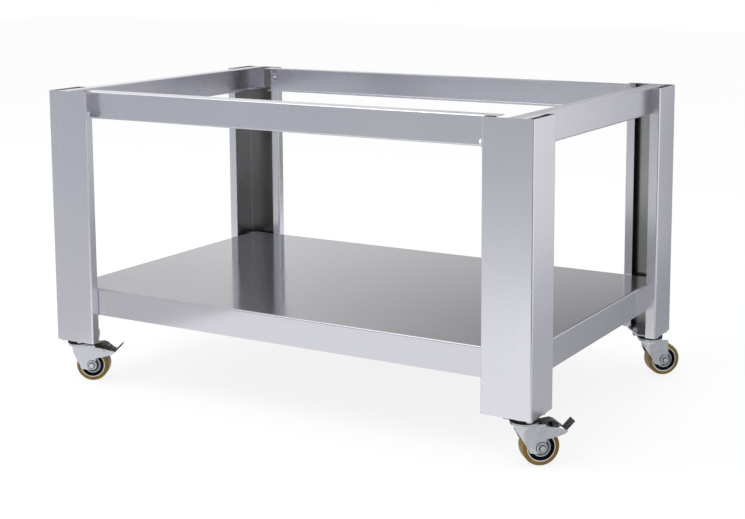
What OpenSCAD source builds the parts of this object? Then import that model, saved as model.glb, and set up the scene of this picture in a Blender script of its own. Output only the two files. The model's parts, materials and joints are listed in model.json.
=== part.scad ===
// Open-frame oven stand of folded stainless sheet on four swivel casters.
// The origin is on the ground under the middle of the frame, +X to the right,
// +Y to the rear and +Z up. The front casters have total-lock brakes.

/* [Frame] */
// Width across the outer faces of the legs
table_w = 1285; // [1000:5:1800]
// Depth across the front and rear faces of the legs
table_d = 830; // [600:5:1200]
// Height of a leg from its lower edge to its top
leg_h = 618; // [450:1:900]
// Steel sheet of the legs and rails
sheet_t = 2; // [1.5:0.1:2.5]
// Radius of every bend at the middle of the sheet
bend_r = 3; // [2.5:0.1:4]

/* [Legs] */
// Width of a leg's face panel
leg_face = 116; // [112:1:150]
// Depth of a leg's side panel
leg_side = 107; // [104:1:140]
// Lip that closes the side panel
outer_lip = 25; // [20:1:27]
// Return on the inner edge of the face panel
inner_return = 25; // [24:1:30]
// Lip that ends the return
inner_lip = 22; // [20:1:25]
// Distance of the lip bolts from the leg's inner edge
lip_bolt_in = 12; // [11:0.5:13]

/* [Top rails] */
// Height of a rail's web
rail_h = 65; // [64:1:100]
// Width of the top flange that carries the oven
rail_top_flange = 35; // [25:1:60]
// Width of the bottom flange
rail_foot_flange = 20; // [12:1:30]
// Height of the bracket bolt above the rail's lower edge
bracket_bolt_z = 11; // [10:0.5:12]
// Height of the lower rail bolt above the rail's lower edge
rail_bolt_low_z = 33; // [28:1:34]
// Height of the upper rail bolt above the rail's lower edge
rail_bolt_high_z = 54; // [50:1:55]
// Thickness of the rail brackets
bracket_t = 3; // [2:0.5:4]
// Width of the tab that ends a side rail
rail_tab = 30; // [15:1:40]

/* [Oven fixing holes] */
// Distance between the left and right fixing holes
oven_hole_x = 900; // [400:10:960]
// Distance of the fixing holes from the leg faces
oven_hole_in = 44; // [40:1:50]
// Radius of a fixing hole
oven_hole_r = 4.5; // [3:0.1:6]

/* [Shelf] */
// Height of the shelf's top above the legs' lower edge
shelf_z = 135; // [120:1:300]
// Depth of the shelf's rim
shelf_rim = 66; // [50:1:80]
// Lip turned inward under the rim
shelf_lip = 15; // [8:1:25]
// Steel sheet of the shelf
shelf_t = 1.5; // [1:0.1:2.5]
// Distance of the shelf bolts below the shelf's top
shelf_bolt_down = 33; // [20:1:40]
// Distance of a stiffener from the middle of the shelf
stiffener_x = 300; // [100:10:400]
// Width of a stiffener's closed face
stiffener_w = 40; // [25:1:70]
// Depth of a stiffener
stiffener_h = 25; // [15:1:40]
// Width of a stiffener's brims
stiffener_brim = 15; // [8:1:25]

/* [Foot plates] */
// Thickness of the plate inside the leg's lower end
foot_t = 3; // [2:0.5:5]
// Height of its upturned flanges
foot_flange_h = 36; // [32:1:60]
// Gap between the plate's edges and the leg
foot_gap = 0.4; // [0.2:0.1:1]
// Width of the plate at the leg's open side
foot_w = 92; // [85:1:94]
// Where the cut across the plate's free corner meets its open side
foot_cut_v = 51; // [48:1:56]
// Where that cut meets the side with the short flange
foot_cut_u = 45; // [40:1:50]
// Height of the foot bolt above the leg's lower edge
foot_bolt_z = 25; // [22:1:26]

/* [Bolts] */
// Radius of the M8 shanks
bolt_r = 4; // [3:0.1:5]
// Clearance of a shank in its hole
bolt_gap = 0.3; // [0.1:0.05:0.6]
// Width of an M8 head or nut across its flats
bolt_af = 13; // [11:0.5:14]
// Height of a bolt's head
bolt_head_h = 5.3; // [4:0.1:6]
// Height of a nut
nut_h = 6.5; // [5:0.1:7]
// Length of thread that stands out of a nut
thread_end = 2; // [0:0.5:4]

/* [Casters] */
// Distance of the swivel axis from the leg's outer side
swivel_u = 36; // [36:0.5:48]
// Distance of the swivel axis from the leg's face
swivel_v = 44; // [40:0.5:50]
// Distance of the wheel's axle behind the swivel axis
trail = 32; // [31.5:0.5:36]
// Caster plate along the table's width
plate_x = 67; // [65:1:70]
// Caster plate along the table's depth
plate_y = 77; // [74:1:80]
// Thickness of the caster plate
plate_t = 3; // [2.5:0.1:4]
// Corner radius of the caster plate
plate_corner = 7; // [3:0.5:12]
// Bolt spacing along the table's width
plate_bolt_x = 51.5; // [51:0.5:52]
// Bolt spacing along the table's depth
plate_bolt_y = 61; // [60.5:0.5:62]

/* [Swivel head] */
// Height of the upper race below the plate
upper_race_h = 10; // [8:0.5:12]
// Gap between the two races
race_gap = 4; // [3:0.1:5]
// Height of the lower race on the fork's crown
lower_race_h = 3; // [2.5:0.1:4]
// Radius of the circle of balls
ball_circle_r = 19.5; // [19:0.1:20]
// Radius of a ball
ball_r = 3.5; // [3:0.1:3.8]
// Clearance of a ball in its grooves
ball_gap = 0.1; // [0.05:0.01:0.15]
// Number of balls in a race
ball_count = 14; // [8:1:16]
// Outer radius of the lower race and of the upper race's lower edge
race_r = 29; // [28.5:0.1:29.5]
// Outer radius of the upper race against the plate
race_top_r = 31; // [30:0.1:31.5]
// Inner radius of both races
race_bore_r = 13; // [12.5:0.1:14]
// Inner radius of the dust seal
seal_in_r = 26.5; // [26:0.1:27]
// Outer radius of the dust seal
seal_out_r = 29.3; // [28.8:0.1:29.6]
// Gap between the dust seal and the upper race
seal_gap = 0.4; // [0.3:0.1:1]
// Radius of the kingpin
kingpin_r = 6; // [5:0.1:7]
// Radius of the kingpin's countersunk head
kingpin_head_r = 11; // [9:0.5:12]
// Depth of the kingpin's countersunk head
kingpin_head_h = 5; // [4:0.5:6]
// Radial clearance of a running shaft
run_gap = 0.05; // [0.02:0.01:0.1]
// Side play between parts that turn on each other
side_play = 0.3; // [0.2:0.05:0.5]
// Thickness of the washer under the crown
king_washer_t = 2.5; // [1.5:0.1:3]
// Radius of the washer under the crown
king_washer_r = 13; // [12:0.5:15]
// Width of the kingpin nut across its flats
king_nut_af = 19; // [17:0.5:21]
// Height of the kingpin nut
king_nut_h = 6; // [4:0.5:7]

/* [Fork] */
// Radius of the fork's crown
crown_r = 30; // [29.5:0.1:30.5]
// Thickness of the fork's sheet
fork_t = 2.5; // [2.5:0.1:3.5]
// Gap between the tyre's top and the crown
crown_clear = 8.5; // [8:0.5:12]
// Depth of the rounded shoulder under the crown
shoulder_h = 12; // [8:0.5:14]
// Distance of the arm's forward corner ahead of the axle
arm_ahead = 25; // [22:0.5:27]
// Width of the arm behind the axle
arm_behind = 9; // [8:0.5:11]
// Depth of the arm's rounded end below the axle
arm_below = 12; // [11:0.5:14]
// Depth of the arm's forward corner below the axle
arm_corner_below = 10; // [8:0.5:11]
// Distance of the arm's waist ahead of the axle
arm_waist = 40; // [38:0.5:42]
// Height of the arm's waist above the axle
arm_waist_z = 16.5; // [14:0.5:19]
// Height of the round front wall's lower edge above the axle
arm_front_z = 40; // [36:0.5:42]

/* [Wheel] */
// Diameter of the wheel over its tyre
wheel_d = 80; // [78:0.5:84]
// Width of the tyre
tyre_w = 35; // [28:0.5:36]
// Thickness of the tyre
tyre_t = 9; // [7:0.5:11]
// Radius of the tyre's shoulders
tyre_round = 4; // [2:0.5:6]
// Width of the hub over its bearings
hub_w = 35; // [35:0.5:40]
// Thickness of the hub's rim
hub_rim_t = 2.5; // [2:0.1:3.5]
// Thickness of the hub's web
hub_web_t = 8; // [5:0.5:14]
// Radius of the hub's boss
hub_boss_r = 17; // [16:0.1:19]
// Outer radius of a wheel bearing
bearing_r = 13; // [12:0.1:14]
// Width of a wheel bearing
bearing_w = 9; // [7:0.5:11]
// Thickness of a bearing's rings
bearing_ring_t = 2; // [1.5:0.1:2.5]
// Depth of the shield between a bearing's rings
shield_in = 0.8; // [0.3:0.1:1.5]
// Radius of the axle
axle_r = 6; // [5:0.1:6.5]
// Thickness of the spacer beside a bearing
spacer_t = 1; // [0.8:0.1:2]
// Radius of the spacer beside a bearing
spacer_r = 8; // [7.5:0.1:9]
// Width of the axle's head and nut across their flats
axle_af = 17; // [16:0.5:19]
// Radius of the flange under the axle's head and nut
axle_flange_r = 11.5; // [11:0.1:12]
// Thickness of that flange
axle_flange_t = 1.5; // [1:0.1:2.5]
// Height of the axle's head
axle_head_h = 5; // [5:0.5:8]
// Height of the axle's nut
axle_nut_h = 5.5; // [5:0.5:9]

/* [Brake] */
// Distance of the pedal's pin behind the axle
brake_pin_x = 30; // [29:0.5:32]
// Height of the pedal's pin above the axle
brake_pin_z = 37; // [36:0.5:38]
// Radius of the pedal's pin
brake_pin_r = 2.5; // [2:0.1:3]
// Width of the pedal
pedal_w = 26; // [20:1:30]
// Thickness of the pedal's sheet
pedal_t = 2.5; // [2:0.1:3]
// Height of the pedal's front edge above the pin
pedal_nose_z = 7; // [6:0.5:8]
// Distance of the pedal's front edge ahead of the pin
pedal_nose_x = 29; // [27:0.5:30]
// Height of the pedal's back above the pin
pedal_back_z = 16.5; // [15:0.5:17]
// Distance of the slope's lower end behind the pin
pedal_heel_x = 26; // [23:0.5:27]
// Depth of the slope's lower end below the pin
pedal_heel_z = 5; // [0:0.5:6]
// Length of the pedal's raised tab
tab_len = 25; // [18:0.5:28]
// Angle of the tab above the horizontal
tab_angle = 46; // [40:1:60]
// Height of the ribs on the tab
rib_h = 0.8; // [0.4:0.1:1.2]
// Number of ribs on the tab
rib_count = 5; // [3:1:7]
// Radius of the ears round the pin
ear_r = 5; // [4:0.1:5.5]
// Gap between the released brake shoe and the tyre
shoe_gap = 3.6; // [3:0.1:4]
// Thickness of the brake shoe
shoe_t = 2.5; // [2:0.1:3]
// Angle of the shoe's lower end above the horizontal, seen from the axle
shoe_low_angle = 35; // [34:1:40]
// Angle of the shoe's upper end
shoe_high_angle = 58; // [52:1:64]

/* [Swivel angles] */
// Front left caster's trail, turned from the right-hand side to the rear
front_left_turn = 28; // [-180:1:180]
// Front right caster's trail
front_right_turn = 42; // [-180:1:180]
// Rear left caster's trail
rear_left_turn = 36; // [-180:1:180]
// Rear right caster's trail
rear_right_turn = 42; // [-180:1:180]

/* [Hidden] */

// Segments of a full circle on large and on small rounds
big_fn = 64;
small_fn = 32;
// Segments of a shoulder's curve and of a tyre's corner
curve_steps = 6;
// Run of a cut past the face that it opens
overrun = 1;

// Signs of the four corners: left or right, front or rear
FL = [-1, -1];
FR = [1, -1];
RL = [-1, 1];
RR = [1, 1];
CORNERS = [FL, FR, RL, RR];

// Heights above the ground
axle_z = wheel_d / 2;
crown_z = wheel_d + crown_clear;
crown_top = crown_z + fork_t;
lower_race_top = crown_top + lower_race_h;
upper_race_z = lower_race_top + race_gap;
ball_z = lower_race_top + race_gap / 2;
plate_z = upper_race_z + upper_race_h;
leg_z = plate_z;
foot_z = leg_z + plate_t;
leg_top = leg_z + leg_h;
rail_z = leg_top - rail_h;
shelf_top = leg_z + shelf_z;
shelf_foot = shelf_top - shelf_rim;

// Half sizes of the frame and of the shelf
half_w = table_w / 2;
half_d = table_d / 2;
shelf_half_w = half_w - outer_lip;
shelf_half_d = half_d - inner_return;

// Places in a leg, measured from its outer side and from its face
lip_u = leg_face - inner_lip;
lip_bolt_u = leg_face - lip_bolt_in;
lip_in_v = inner_return - sheet_t;
return_in_u = leg_face - sheet_t;
bracket_foot_gap = sheet_t / 2;
bracket_bolt_v = inner_return / 2;
hex_share = 1 / sqrt(3);

// Fork and wheel across the axle
arm_in = hub_w / 2 + side_play + spacer_t;
arm_out = arm_in + fork_t;
rim_r = wheel_d / 2 - tyre_t;
pin_x = trail + brake_pin_x;
pin_z = axle_z + brake_pin_z;
shoe_r = wheel_d / 2 + shoe_gap;
shoe_half = pedal_w / 2 - pedal_t;

function unit(v) = v / norm(v);
function turn_left(v) = [-v[1], v[0]];

// Line of points beside another, a distance d to its left, with its corners kept sharp
function beside(line, d) = [
    for (i = [0 : len(line) - 1])
        let (
            before = unit(line[max(i, 1)] - line[max(i, 1) - 1]),
            after = i < len(line) - 1 ? unit(line[i + 1] - line[i]) : before,
            mid = unit(turn_left(before) + turn_left(after))
        )
        line[i] + mid * d / (mid * turn_left(before))
];
function flipped(line) = [for (i = [len(line) - 1 : -1 : 0]) line[i]];

module at_corner(c) {
    translate([c[0] * half_w, c[1] * half_d, 0])
        mirror([c[0] > 0 ? 1 : 0, 0, 0])
            mirror([0, c[1] > 0 ? 1 : 0, 0])
                children();
}

module at_swivel(c) {
    translate([c[0] * (half_w - swivel_u), c[1] * (half_d - swivel_v), 0])
        children();
}

module at_fork(c, turn) {
    at_swivel(c) rotate([0, 0, turn]) children();
}

module at_axle(c, turn) {
    at_fork(c, turn) translate([trail, 0, axle_z]) rotate([-90, 0, 0]) children();
}

// One straight stretch of folded sheet, between two points on its middle line
module strip(a, b, t) {
    n = turn_left(unit(b - a)) * t / 2;
    polygon([a + n, b + n, b - n, a - n]);
}

// One square bend of folded sheet, round the corner point of its middle line
module bend(p, d_in, d_out, r, t) {
    c = p - d_in * r + d_out * r;
    k = r + t;
    intersection() {
        translate(c) difference() {
            circle(r = r + t / 2, $fn = small_fn);
            circle(r = r - t / 2, $fn = small_fn);
        }
        polygon([c, c - d_out * k, c - d_out * k + d_in * k, c + d_in * k]);
    }
}

// Length h of sheet, folded along a line of square corners
module folded(h, pts, r, t) {
    last = len(pts) - 1;
    for (i = [0 : last - 1]) {
        d = unit(pts[i + 1] - pts[i]);
        a = pts[i] + (i > 0 ? r : 0) * d;
        b = pts[i + 1] - (i < last - 1 ? r : 0) * d;
        linear_extrude(h) strip(a, b, t);
    }
    for (i = [1 : last - 1]) linear_extrude(h)
        bend(pts[i], unit(pts[i] - pts[i - 1]), unit(pts[i + 1] - pts[i]), r, t);
}

// Hexagon with two flats square to the first axis
module hex_prism(af, h) {
    rotate([0, 0, 30]) cylinder(r = af * hex_share, h = h, $fn = 6);
}

// Bolt from the underside of its head upward, the head below zero
module bolt(grip) {
    union() {
        translate([0, 0, -bolt_head_h]) hex_prism(bolt_af, bolt_head_h);
        translate([0, 0, -bolt_head_h / 2])
            cylinder(r = bolt_r, h = bolt_head_h / 2 + grip + nut_h + thread_end, $fn = small_fn);
    }
}

module nut() {
    difference() {
        hex_prism(bolt_af, nut_h);
        translate([0, 0, -overrun])
            cylinder(r = bolt_r + run_gap, h = nut_h + 2 * overrun, $fn = small_fn);
    }
}

module bolt_hole(depth) {
    translate([0, 0, -overrun])
        cylinder(r = bolt_r + bolt_gap, h = depth + 2 * overrun, $fn = small_fn);
}

// Directions of the bolts in a leg: inward from the face, and outward from
// the inside of the return
module face_on() {
    rotate([-90, 0, 0]) children();
}

module side_on() {
    rotate([0, 90, 0]) children();
}

module rail_bolt_places() {
    for (z = [rail_bolt_low_z, rail_bolt_high_z])
        translate([lip_bolt_u, 0, rail_z + z]) children();
}

module shelf_bolt_place() {
    translate([lip_bolt_u, 0, shelf_top - shelf_bolt_down]) children();
}

module foot_bolt_place() {
    translate([lip_bolt_u, 0, leg_z + foot_bolt_z]) children();
}

module bracket_bolt_place() {
    translate([0, bracket_bolt_v, rail_z + bracket_bolt_z]) children();
}

module plate_bolt_places() {
    for (x = [-1, 1], y = [-1, 1])
        translate([x * plate_bolt_x / 2, y * plate_bolt_y / 2, 0]) children();
}

module leg_sheet() {
    m = sheet_t / 2;
    folded(leg_h, [
        [lip_u, inner_return - m],
        [leg_face - m, inner_return - m],
        [leg_face - m, m],
        [m, m],
        [m, leg_side - m],
        [outer_lip, leg_side - m]
    ], bend_r, sheet_t);
}

module leg(c) {
    color([0.78, 0.79, 0.83]) at_corner(c) difference() {
        translate([0, 0, leg_z]) leg_sheet();
        translate([0, lip_in_v, 0]) {
            rail_bolt_places() face_on() bolt_hole(sheet_t);
            shelf_bolt_place() face_on() bolt_hole(sheet_t);
            foot_bolt_place() face_on() bolt_hole(sheet_t);
        }
        translate([return_in_u, 0, 0])
            bracket_bolt_place() side_on() bolt_hole(sheet_t);
    }
}

// Plate that closes the leg's lower end, with a flange behind each lip
module foot_plate(c) {
    edge = sheet_t + foot_gap;
    side_end = leg_side - sheet_t;
    deep = return_in_u - foot_gap;
    color([0.62, 0.63, 0.66]) at_corner(c) difference() {
        union() {
            translate([0, 0, foot_z]) linear_extrude(foot_t) polygon([
                [edge, edge + bend_r],
                [edge + bend_r, edge],
                [deep - bend_r, edge],
                [deep, edge + bend_r],
                [deep, lip_in_v - bend_r],
                [deep - bend_r, lip_in_v],
                [foot_w, lip_in_v],
                [foot_w, foot_cut_v],
                [foot_cut_u, side_end],
                [edge + bend_r, side_end],
                [edge, side_end - bend_r]
            ]);
            translate([lip_u, lip_in_v - foot_t, foot_z])
                cube([return_in_u - bend_r - lip_u, foot_t, foot_flange_h]);
            translate([edge + bend_r, side_end - foot_t, foot_z])
                cube([outer_lip - edge - bend_r, foot_t, foot_flange_h]);
        }
        translate([0, lip_in_v - foot_t, 0])
            foot_bolt_place() face_on() bolt_hole(foot_t);
        translate([swivel_u, swivel_v, foot_z])
            plate_bolt_places() bolt_hole(foot_t);
    }
}

// Tab at a long rail's end, turned forward onto the leg's return
module rail_end_tab() {
    low = rail_z + bracket_foot_gap;
    translate([leg_face, 0, 0]) rotate([90, 0, 90]) linear_extrude(sheet_t) polygon([
        [bend_r, leg_top - bend_r],
        [bend_r, low + bend_r],
        [2 * bend_r, low],
        [inner_return, low],
        [inner_return + sheet_t / 2, low + bend_r],
        [inner_return + sheet_t / 2, leg_top - bend_r]
    ]);
}

// Channel of a rail, from the lower edge of its web at zero
module rail_sheet(h, start) {
    m = sheet_t / 2;
    folded(h, [
        [start + rail_top_flange, rail_h - m],
        [start + m, rail_h - m],
        [start + m, m],
        [start + rail_foot_flange, m]
    ], bend_r, sheet_t);
}

module long_rail(side) {
    long_half = half_w - lip_u;
    color([0.75, 0.76, 0.80]) mirror([0, side > 0 ? 1 : 0, 0]) difference() {
        union() {
            translate([-long_half, -half_d, rail_z]) rotate([90, 0, 90])
                rail_sheet(2 * long_half, inner_return);
            for (c = [FL, FR]) at_corner(c) rail_end_tab();
        }
        for (c = [FL, FR]) at_corner(c) {
            translate([0, inner_return, 0])
                rail_bolt_places() face_on() bolt_hole(sheet_t);
            translate([leg_face, 0, 0])
                bracket_bolt_place() side_on() bolt_hole(sheet_t);
        }
        for (x = [-1, 1])
            translate([x * oven_hole_x / 2, oven_hole_in - half_d, leg_top - sheet_t - overrun])
                cylinder(r = oven_hole_r, h = sheet_t + 2 * overrun, $fn = small_fn);
    }
}

module short_rail(side) {
    short_half = half_d - sheet_t;
    tab_h = rail_h - 2 * (bend_r + sheet_t);
    color([0.75, 0.76, 0.80]) mirror([side > 0 ? 1 : 0, 0, 0]) union() {
        translate([-half_w, short_half, rail_z]) rotate([90, 0, 0])
            rail_sheet(2 * short_half, outer_lip);
        for (y = [-short_half, short_half - sheet_t])
            translate([outer_lip - half_w, y, rail_z + bend_r + sheet_t])
                cube([rail_tab, sheet_t, tab_h]);
    }
}

// Angle nested behind the return and its lip, where a long rail is bolted
module rail_brackets() {
    m = bracket_t / 2;
    u = return_in_u - m;
    v = lip_in_v - m;
    h = rail_h - 2 * bracket_foot_gap - sheet_t;
    color([0.60, 0.61, 0.64]) for (c = CORNERS) at_corner(c) difference() {
        translate([0, 0, rail_z + bracket_foot_gap])
            folded(h, [[lip_u, v], [u, v], [u, sheet_t + bend_r]], bend_r, bracket_t);
        translate([0, lip_in_v - bracket_t, 0])
            rail_bolt_places() face_on() bolt_hole(bracket_t);
        translate([return_in_u - bracket_t, 0, 0])
            bracket_bolt_place() side_on() bolt_hole(bracket_t);
    }
}

// Outline of the shelf across one direction, with a bend at each top corner
module tray_section(half, top, low, r) {
    square_half = half - r;
    translate([-half, low]) square([2 * half, top - r - low]);
    translate([-square_half, low]) square([2 * square_half, top - low]);
    for (s = [-1, 1])
        translate([s * square_half, top - r]) circle(r = r, $fn = small_fn);
}

module tray_block(half_x, half_y, top, low, r) {
    intersection() {
        translate([-half_x - overrun, 0, 0]) rotate([90, 0, 90])
            linear_extrude(2 * (half_x + overrun)) tray_section(half_y, top, low, r);
        translate([0, half_y + overrun, 0]) rotate([90, 0, 0])
            linear_extrude(2 * (half_y + overrun)) tray_section(half_x, top, low, r);
    }
}

module shelf() {
    r = bend_r + shelf_t / 2;
    in_x = shelf_half_w - shelf_t;
    in_y = shelf_half_d - shelf_t;
    lip_x = shelf_half_w - shelf_lip;
    lip_y = shelf_half_d - shelf_lip;
    color([0.72, 0.72, 0.75]) difference() {
        tray_block(shelf_half_w, shelf_half_d, shelf_top, shelf_foot, r);
        tray_block(in_x, in_y, shelf_top - shelf_t, shelf_foot + shelf_t, r - shelf_t);
        translate([-lip_x, -lip_y, shelf_foot - overrun])
            cube([2 * lip_x, 2 * lip_y, shelf_t + 2 * overrun]);
        for (c = CORNERS) at_corner(c) translate([0, inner_return, 0])
            shelf_bolt_place() face_on() bolt_hole(shelf_t);
    }
}

// Hat sections welded under the shelf from front to rear
module shelf_stiffeners() {
    m = shelf_t / 2;
    w = stiffener_w / 2;
    top = shelf_top - shelf_t - m;
    low = shelf_top - shelf_t - stiffener_h;
    half = shelf_half_d - shelf_t - bend_r;
    color([0.66, 0.67, 0.70]) for (s = [-1, 1])
        translate([s * stiffener_x, half, 0]) rotate([90, 0, 0])
            folded(2 * half, [
                [-w - stiffener_brim, top],
                [-w, top],
                [-w, low + m],
                [w, low + m],
                [w, top],
                [w + stiffener_brim, top]
            ], bend_r, shelf_t);
}

module frame_bolts() {
    color([0.80, 0.80, 0.82]) for (c = CORNERS) at_corner(c) {
        translate([0, lip_in_v - bracket_t, 0])
            rail_bolt_places() face_on() bolt(bracket_t + 2 * sheet_t);
        translate([0, lip_in_v, 0])
            shelf_bolt_place() face_on() bolt(sheet_t + shelf_t);
        translate([0, inner_return, 0])
            foot_bolt_place() mirror([0, 1, 0]) face_on() bolt(sheet_t + foot_t);
        translate([leg_face + sheet_t, 0, 0])
            bracket_bolt_place() mirror([1, 0, 0]) side_on() bolt(2 * sheet_t + bracket_t);
    }
}

module frame_nuts() {
    color([0.74, 0.74, 0.76]) for (c = CORNERS) at_corner(c) {
        translate([0, inner_return + sheet_t, 0])
            rail_bolt_places() face_on() nut();
        translate([0, inner_return + shelf_t, 0])
            shelf_bolt_place() face_on() nut();
        translate([0, lip_in_v - foot_t, 0])
            foot_bolt_place() mirror([0, 1, 0]) face_on() nut();
        translate([return_in_u - bracket_t, 0, 0])
            bracket_bolt_place() mirror([1, 0, 0]) side_on() nut();
    }
}

module caster_bolts() {
    color([0.80, 0.81, 0.82]) for (c = CORNERS) at_swivel(c)
        translate([0, 0, plate_z]) plate_bolt_places() bolt(plate_t + foot_t);
}

module caster_nuts() {
    color([0.76, 0.77, 0.78]) for (c = CORNERS) at_swivel(c)
        translate([0, 0, foot_z + foot_t]) plate_bolt_places() nut();
}

module round_plate(x, y, r) {
    square([x, y - 2 * r], center = true);
    square([x - 2 * r, y], center = true);
    for (i = [-1, 1], j = [-1, 1])
        translate([i * (x / 2 - r), j * (y / 2 - r)]) circle(r = r, $fn = small_fn);
}

module ball_groove() {
    translate([0, 0, ball_z]) rotate_extrude($fn = big_fn)
        translate([ball_circle_r, 0]) circle(r = ball_r + ball_gap, $fn = small_fn);
}

// Countersunk head of the kingpin, flush with the plate's top
module kingpin_head() {
    translate([0, 0, foot_z - kingpin_head_h])
        cylinder(r1 = kingpin_r, r2 = kingpin_head_r, h = kingpin_head_h, $fn = big_fn);
}

module caster_plate(c) {
    color([0.76, 0.78, 0.80]) at_swivel(c) difference() {
        union() {
            translate([0, 0, plate_z]) linear_extrude(plate_t)
                round_plate(plate_x, plate_y, plate_corner);
            translate([0, 0, upper_race_z])
                cylinder(r1 = race_r, r2 = race_top_r, h = upper_race_h, $fn = big_fn);
        }
        ball_groove();
        kingpin_head();
        translate([0, 0, upper_race_z - overrun])
            cylinder(r = kingpin_r + run_gap, h = upper_race_h + plate_t + 2 * overrun, $fn = big_fn);
        plate_bolt_places() translate([0, 0, plate_z]) bolt_hole(plate_t);
    }
}

module kingpins() {
    washer_z = crown_z - side_play - king_washer_t;
    nut_z = washer_z - king_nut_h;
    end_z = nut_z - overrun;
    color([0.70, 0.71, 0.73]) for (c = CORNERS) at_swivel(c) union() {
        kingpin_head();
        translate([0, 0, end_z])
            cylinder(r = kingpin_r, h = foot_z - end_z, $fn = big_fn);
        translate([0, 0, washer_z])
            cylinder(r = king_washer_r, h = king_washer_t, $fn = big_fn);
        translate([0, 0, nut_z]) hex_prism(king_nut_af, king_nut_h);
    }
}

module race_balls(c, turn) {
    color([0.85, 0.85, 0.86]) at_fork(c, turn) for (i = [0 : ball_count - 1])
        rotate([0, 0, i * 360 / ball_count])
            translate([ball_circle_r, 0, ball_z]) sphere(r = ball_r, $fn = small_fn);
}

module dust_seal(c, turn) {
    color([0.05, 0.05, 0.06]) at_fork(c, turn) difference() {
        translate([0, 0, lower_race_top])
            cylinder(r = seal_out_r, h = race_gap - seal_gap, $fn = big_fn);
        translate([0, 0, lower_race_top - overrun])
            cylinder(r = seal_in_r, h = race_gap + 2 * overrun, $fn = big_fn);
    }
}

// Rounded shoulder between the crown's edge and the arms
module shoulder() {
    reach = crown_r - arm_out;
    drop = crown_top - crown_z + shoulder_h;
    outer = [for (i = [0 : curve_steps])
        let (a = 90 * i / curve_steps)
        [arm_out + reach * (1 - sin(a)), crown_top - drop * (1 - cos(a))]];
    rotate_extrude($fn = big_fn)
        polygon(concat(outer, [for (i = [0 : curve_steps])
            [outer[curve_steps - i][0] - fork_t, outer[curve_steps - i][1]]]));
}

// Plan of the fork's wall: round in front of the swivel axis, straight behind
module fork_plan(reach) {
    difference() {
        union() {
            circle(r = arm_out, $fn = big_fn);
            translate([0, -arm_out]) square([reach, 2 * arm_out]);
        }
        circle(r = arm_in, $fn = big_fn);
        translate([0, -arm_in]) square([reach + overrun, 2 * arm_in]);
    }
}

// Side view of the fork, seen along the axle
module fork_side(braked) {
    rear = trail + arm_behind;
    front = -arm_out - overrun;
    arm_top = crown_z + fork_t / 2;
    polygon([
        [front, arm_top],
        [front, axle_z + arm_front_z],
        [trail - arm_waist, axle_z + arm_waist_z],
        [trail - arm_ahead, axle_z - arm_corner_below],
        [trail - arm_ahead / 2, axle_z - arm_below],
        [trail, axle_z - arm_below],
        [trail, axle_z],
        [rear, axle_z],
        [rear, arm_top - fork_t],
        [rear - fork_t, arm_top]
    ]);
    translate([trail, axle_z]) circle(r = arm_below, $fn = small_fn);
    if (braked) brake_arm_side();
}

// Side view of the arm that reaches back over the wheel and holds the pin
module brake_arm_side() {
    tip_x = pin_x + pedal_heel_x;
    polygon([
        [trail, crown_z - fork_t],
        [pin_x - ear_r, pin_z + ear_r],
        [pin_x + ear_r / 2, pin_z + ear_r / 2 + fork_t / 2],
        [tip_x - fork_t, pin_z - ear_r / 2],
        [tip_x, pin_z - ear_r],
        [tip_x - ear_r, pin_z - 2 * ear_r],
        [pin_x + ear_r, pin_z - 3 * ear_r],
        [trail + arm_behind, axle_z + arm_below + ear_r],
        [trail, axle_z]
    ]);
}

module fork(c, turn, braked) {
    reach = braked ? pin_x + pedal_heel_x : trail + arm_below;
    color([0.74, 0.76, 0.79]) at_fork(c, turn) difference() {
        union() {
            intersection() {
                linear_extrude(crown_top) fork_plan(reach);
                translate([0, arm_out, 0]) rotate([90, 0, 0])
                    linear_extrude(2 * arm_out) fork_side(braked);
            }
            difference() {
                intersection() {
                    shoulder();
                    translate([-crown_r, -crown_r, 0])
                        cube([crown_r + trail / 2, 2 * crown_r, crown_top]);
                }
                translate([0, -arm_in, 0]) cube([crown_r, 2 * arm_in, crown_z]);
            }
            translate([0, 0, crown_z]) cylinder(r = crown_r, h = fork_t, $fn = big_fn);
            translate([0, 0, crown_top]) cylinder(r = race_r, h = lower_race_h, $fn = big_fn);
        }
        ball_groove();
        translate([0, 0, crown_z - overrun])
            cylinder(r = kingpin_r + run_gap, h = fork_t + 2 * overrun, $fn = big_fn);
        translate([0, 0, crown_top])
            cylinder(r = race_bore_r, h = lower_race_h + overrun, $fn = big_fn);
        translate([trail, arm_out + overrun, axle_z]) rotate([90, 0, 0])
            cylinder(r = axle_r + run_gap, h = 2 * (arm_out + overrun), $fn = big_fn);
        if (braked) translate([pin_x, arm_out + overrun, pin_z]) rotate([90, 0, 0])
            cylinder(r = brake_pin_r + run_gap, h = 2 * (arm_out + overrun), $fn = small_fn);
    }
}

// Axle bolt with its nut and the two spacers beside the bearings
module axle(c, turn) {
    color([0.80, 0.81, 0.83]) at_axle(c, turn) {
        union() {
            translate([0, 0, -arm_out - axle_nut_h - thread_end])
                cylinder(r = axle_r, h = 2 * arm_out + axle_nut_h + thread_end, $fn = big_fn);
            translate([0, 0, arm_out]) hex_prism(axle_af, axle_head_h);
            translate([0, 0, arm_out])
                cylinder(r = axle_flange_r, h = axle_flange_t, $fn = big_fn);
        }
        translate([0, 0, -arm_out - axle_nut_h]) difference() {
            union() {
                hex_prism(axle_af, axle_nut_h);
                translate([0, 0, axle_nut_h - axle_flange_t])
                    cylinder(r = axle_flange_r, h = axle_flange_t, $fn = big_fn);
            }
            translate([0, 0, -overrun])
                cylinder(r = axle_r + run_gap, h = axle_nut_h + 2 * overrun, $fn = big_fn);
        }
        for (z = [-arm_in, arm_in - spacer_t]) translate([0, 0, z]) difference() {
            cylinder(r = spacer_r, h = spacer_t, $fn = big_fn);
            translate([0, 0, -overrun])
                cylinder(r = axle_r + run_gap, h = spacer_t + 2 * overrun, $fn = big_fn);
        }
    }
}

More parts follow.
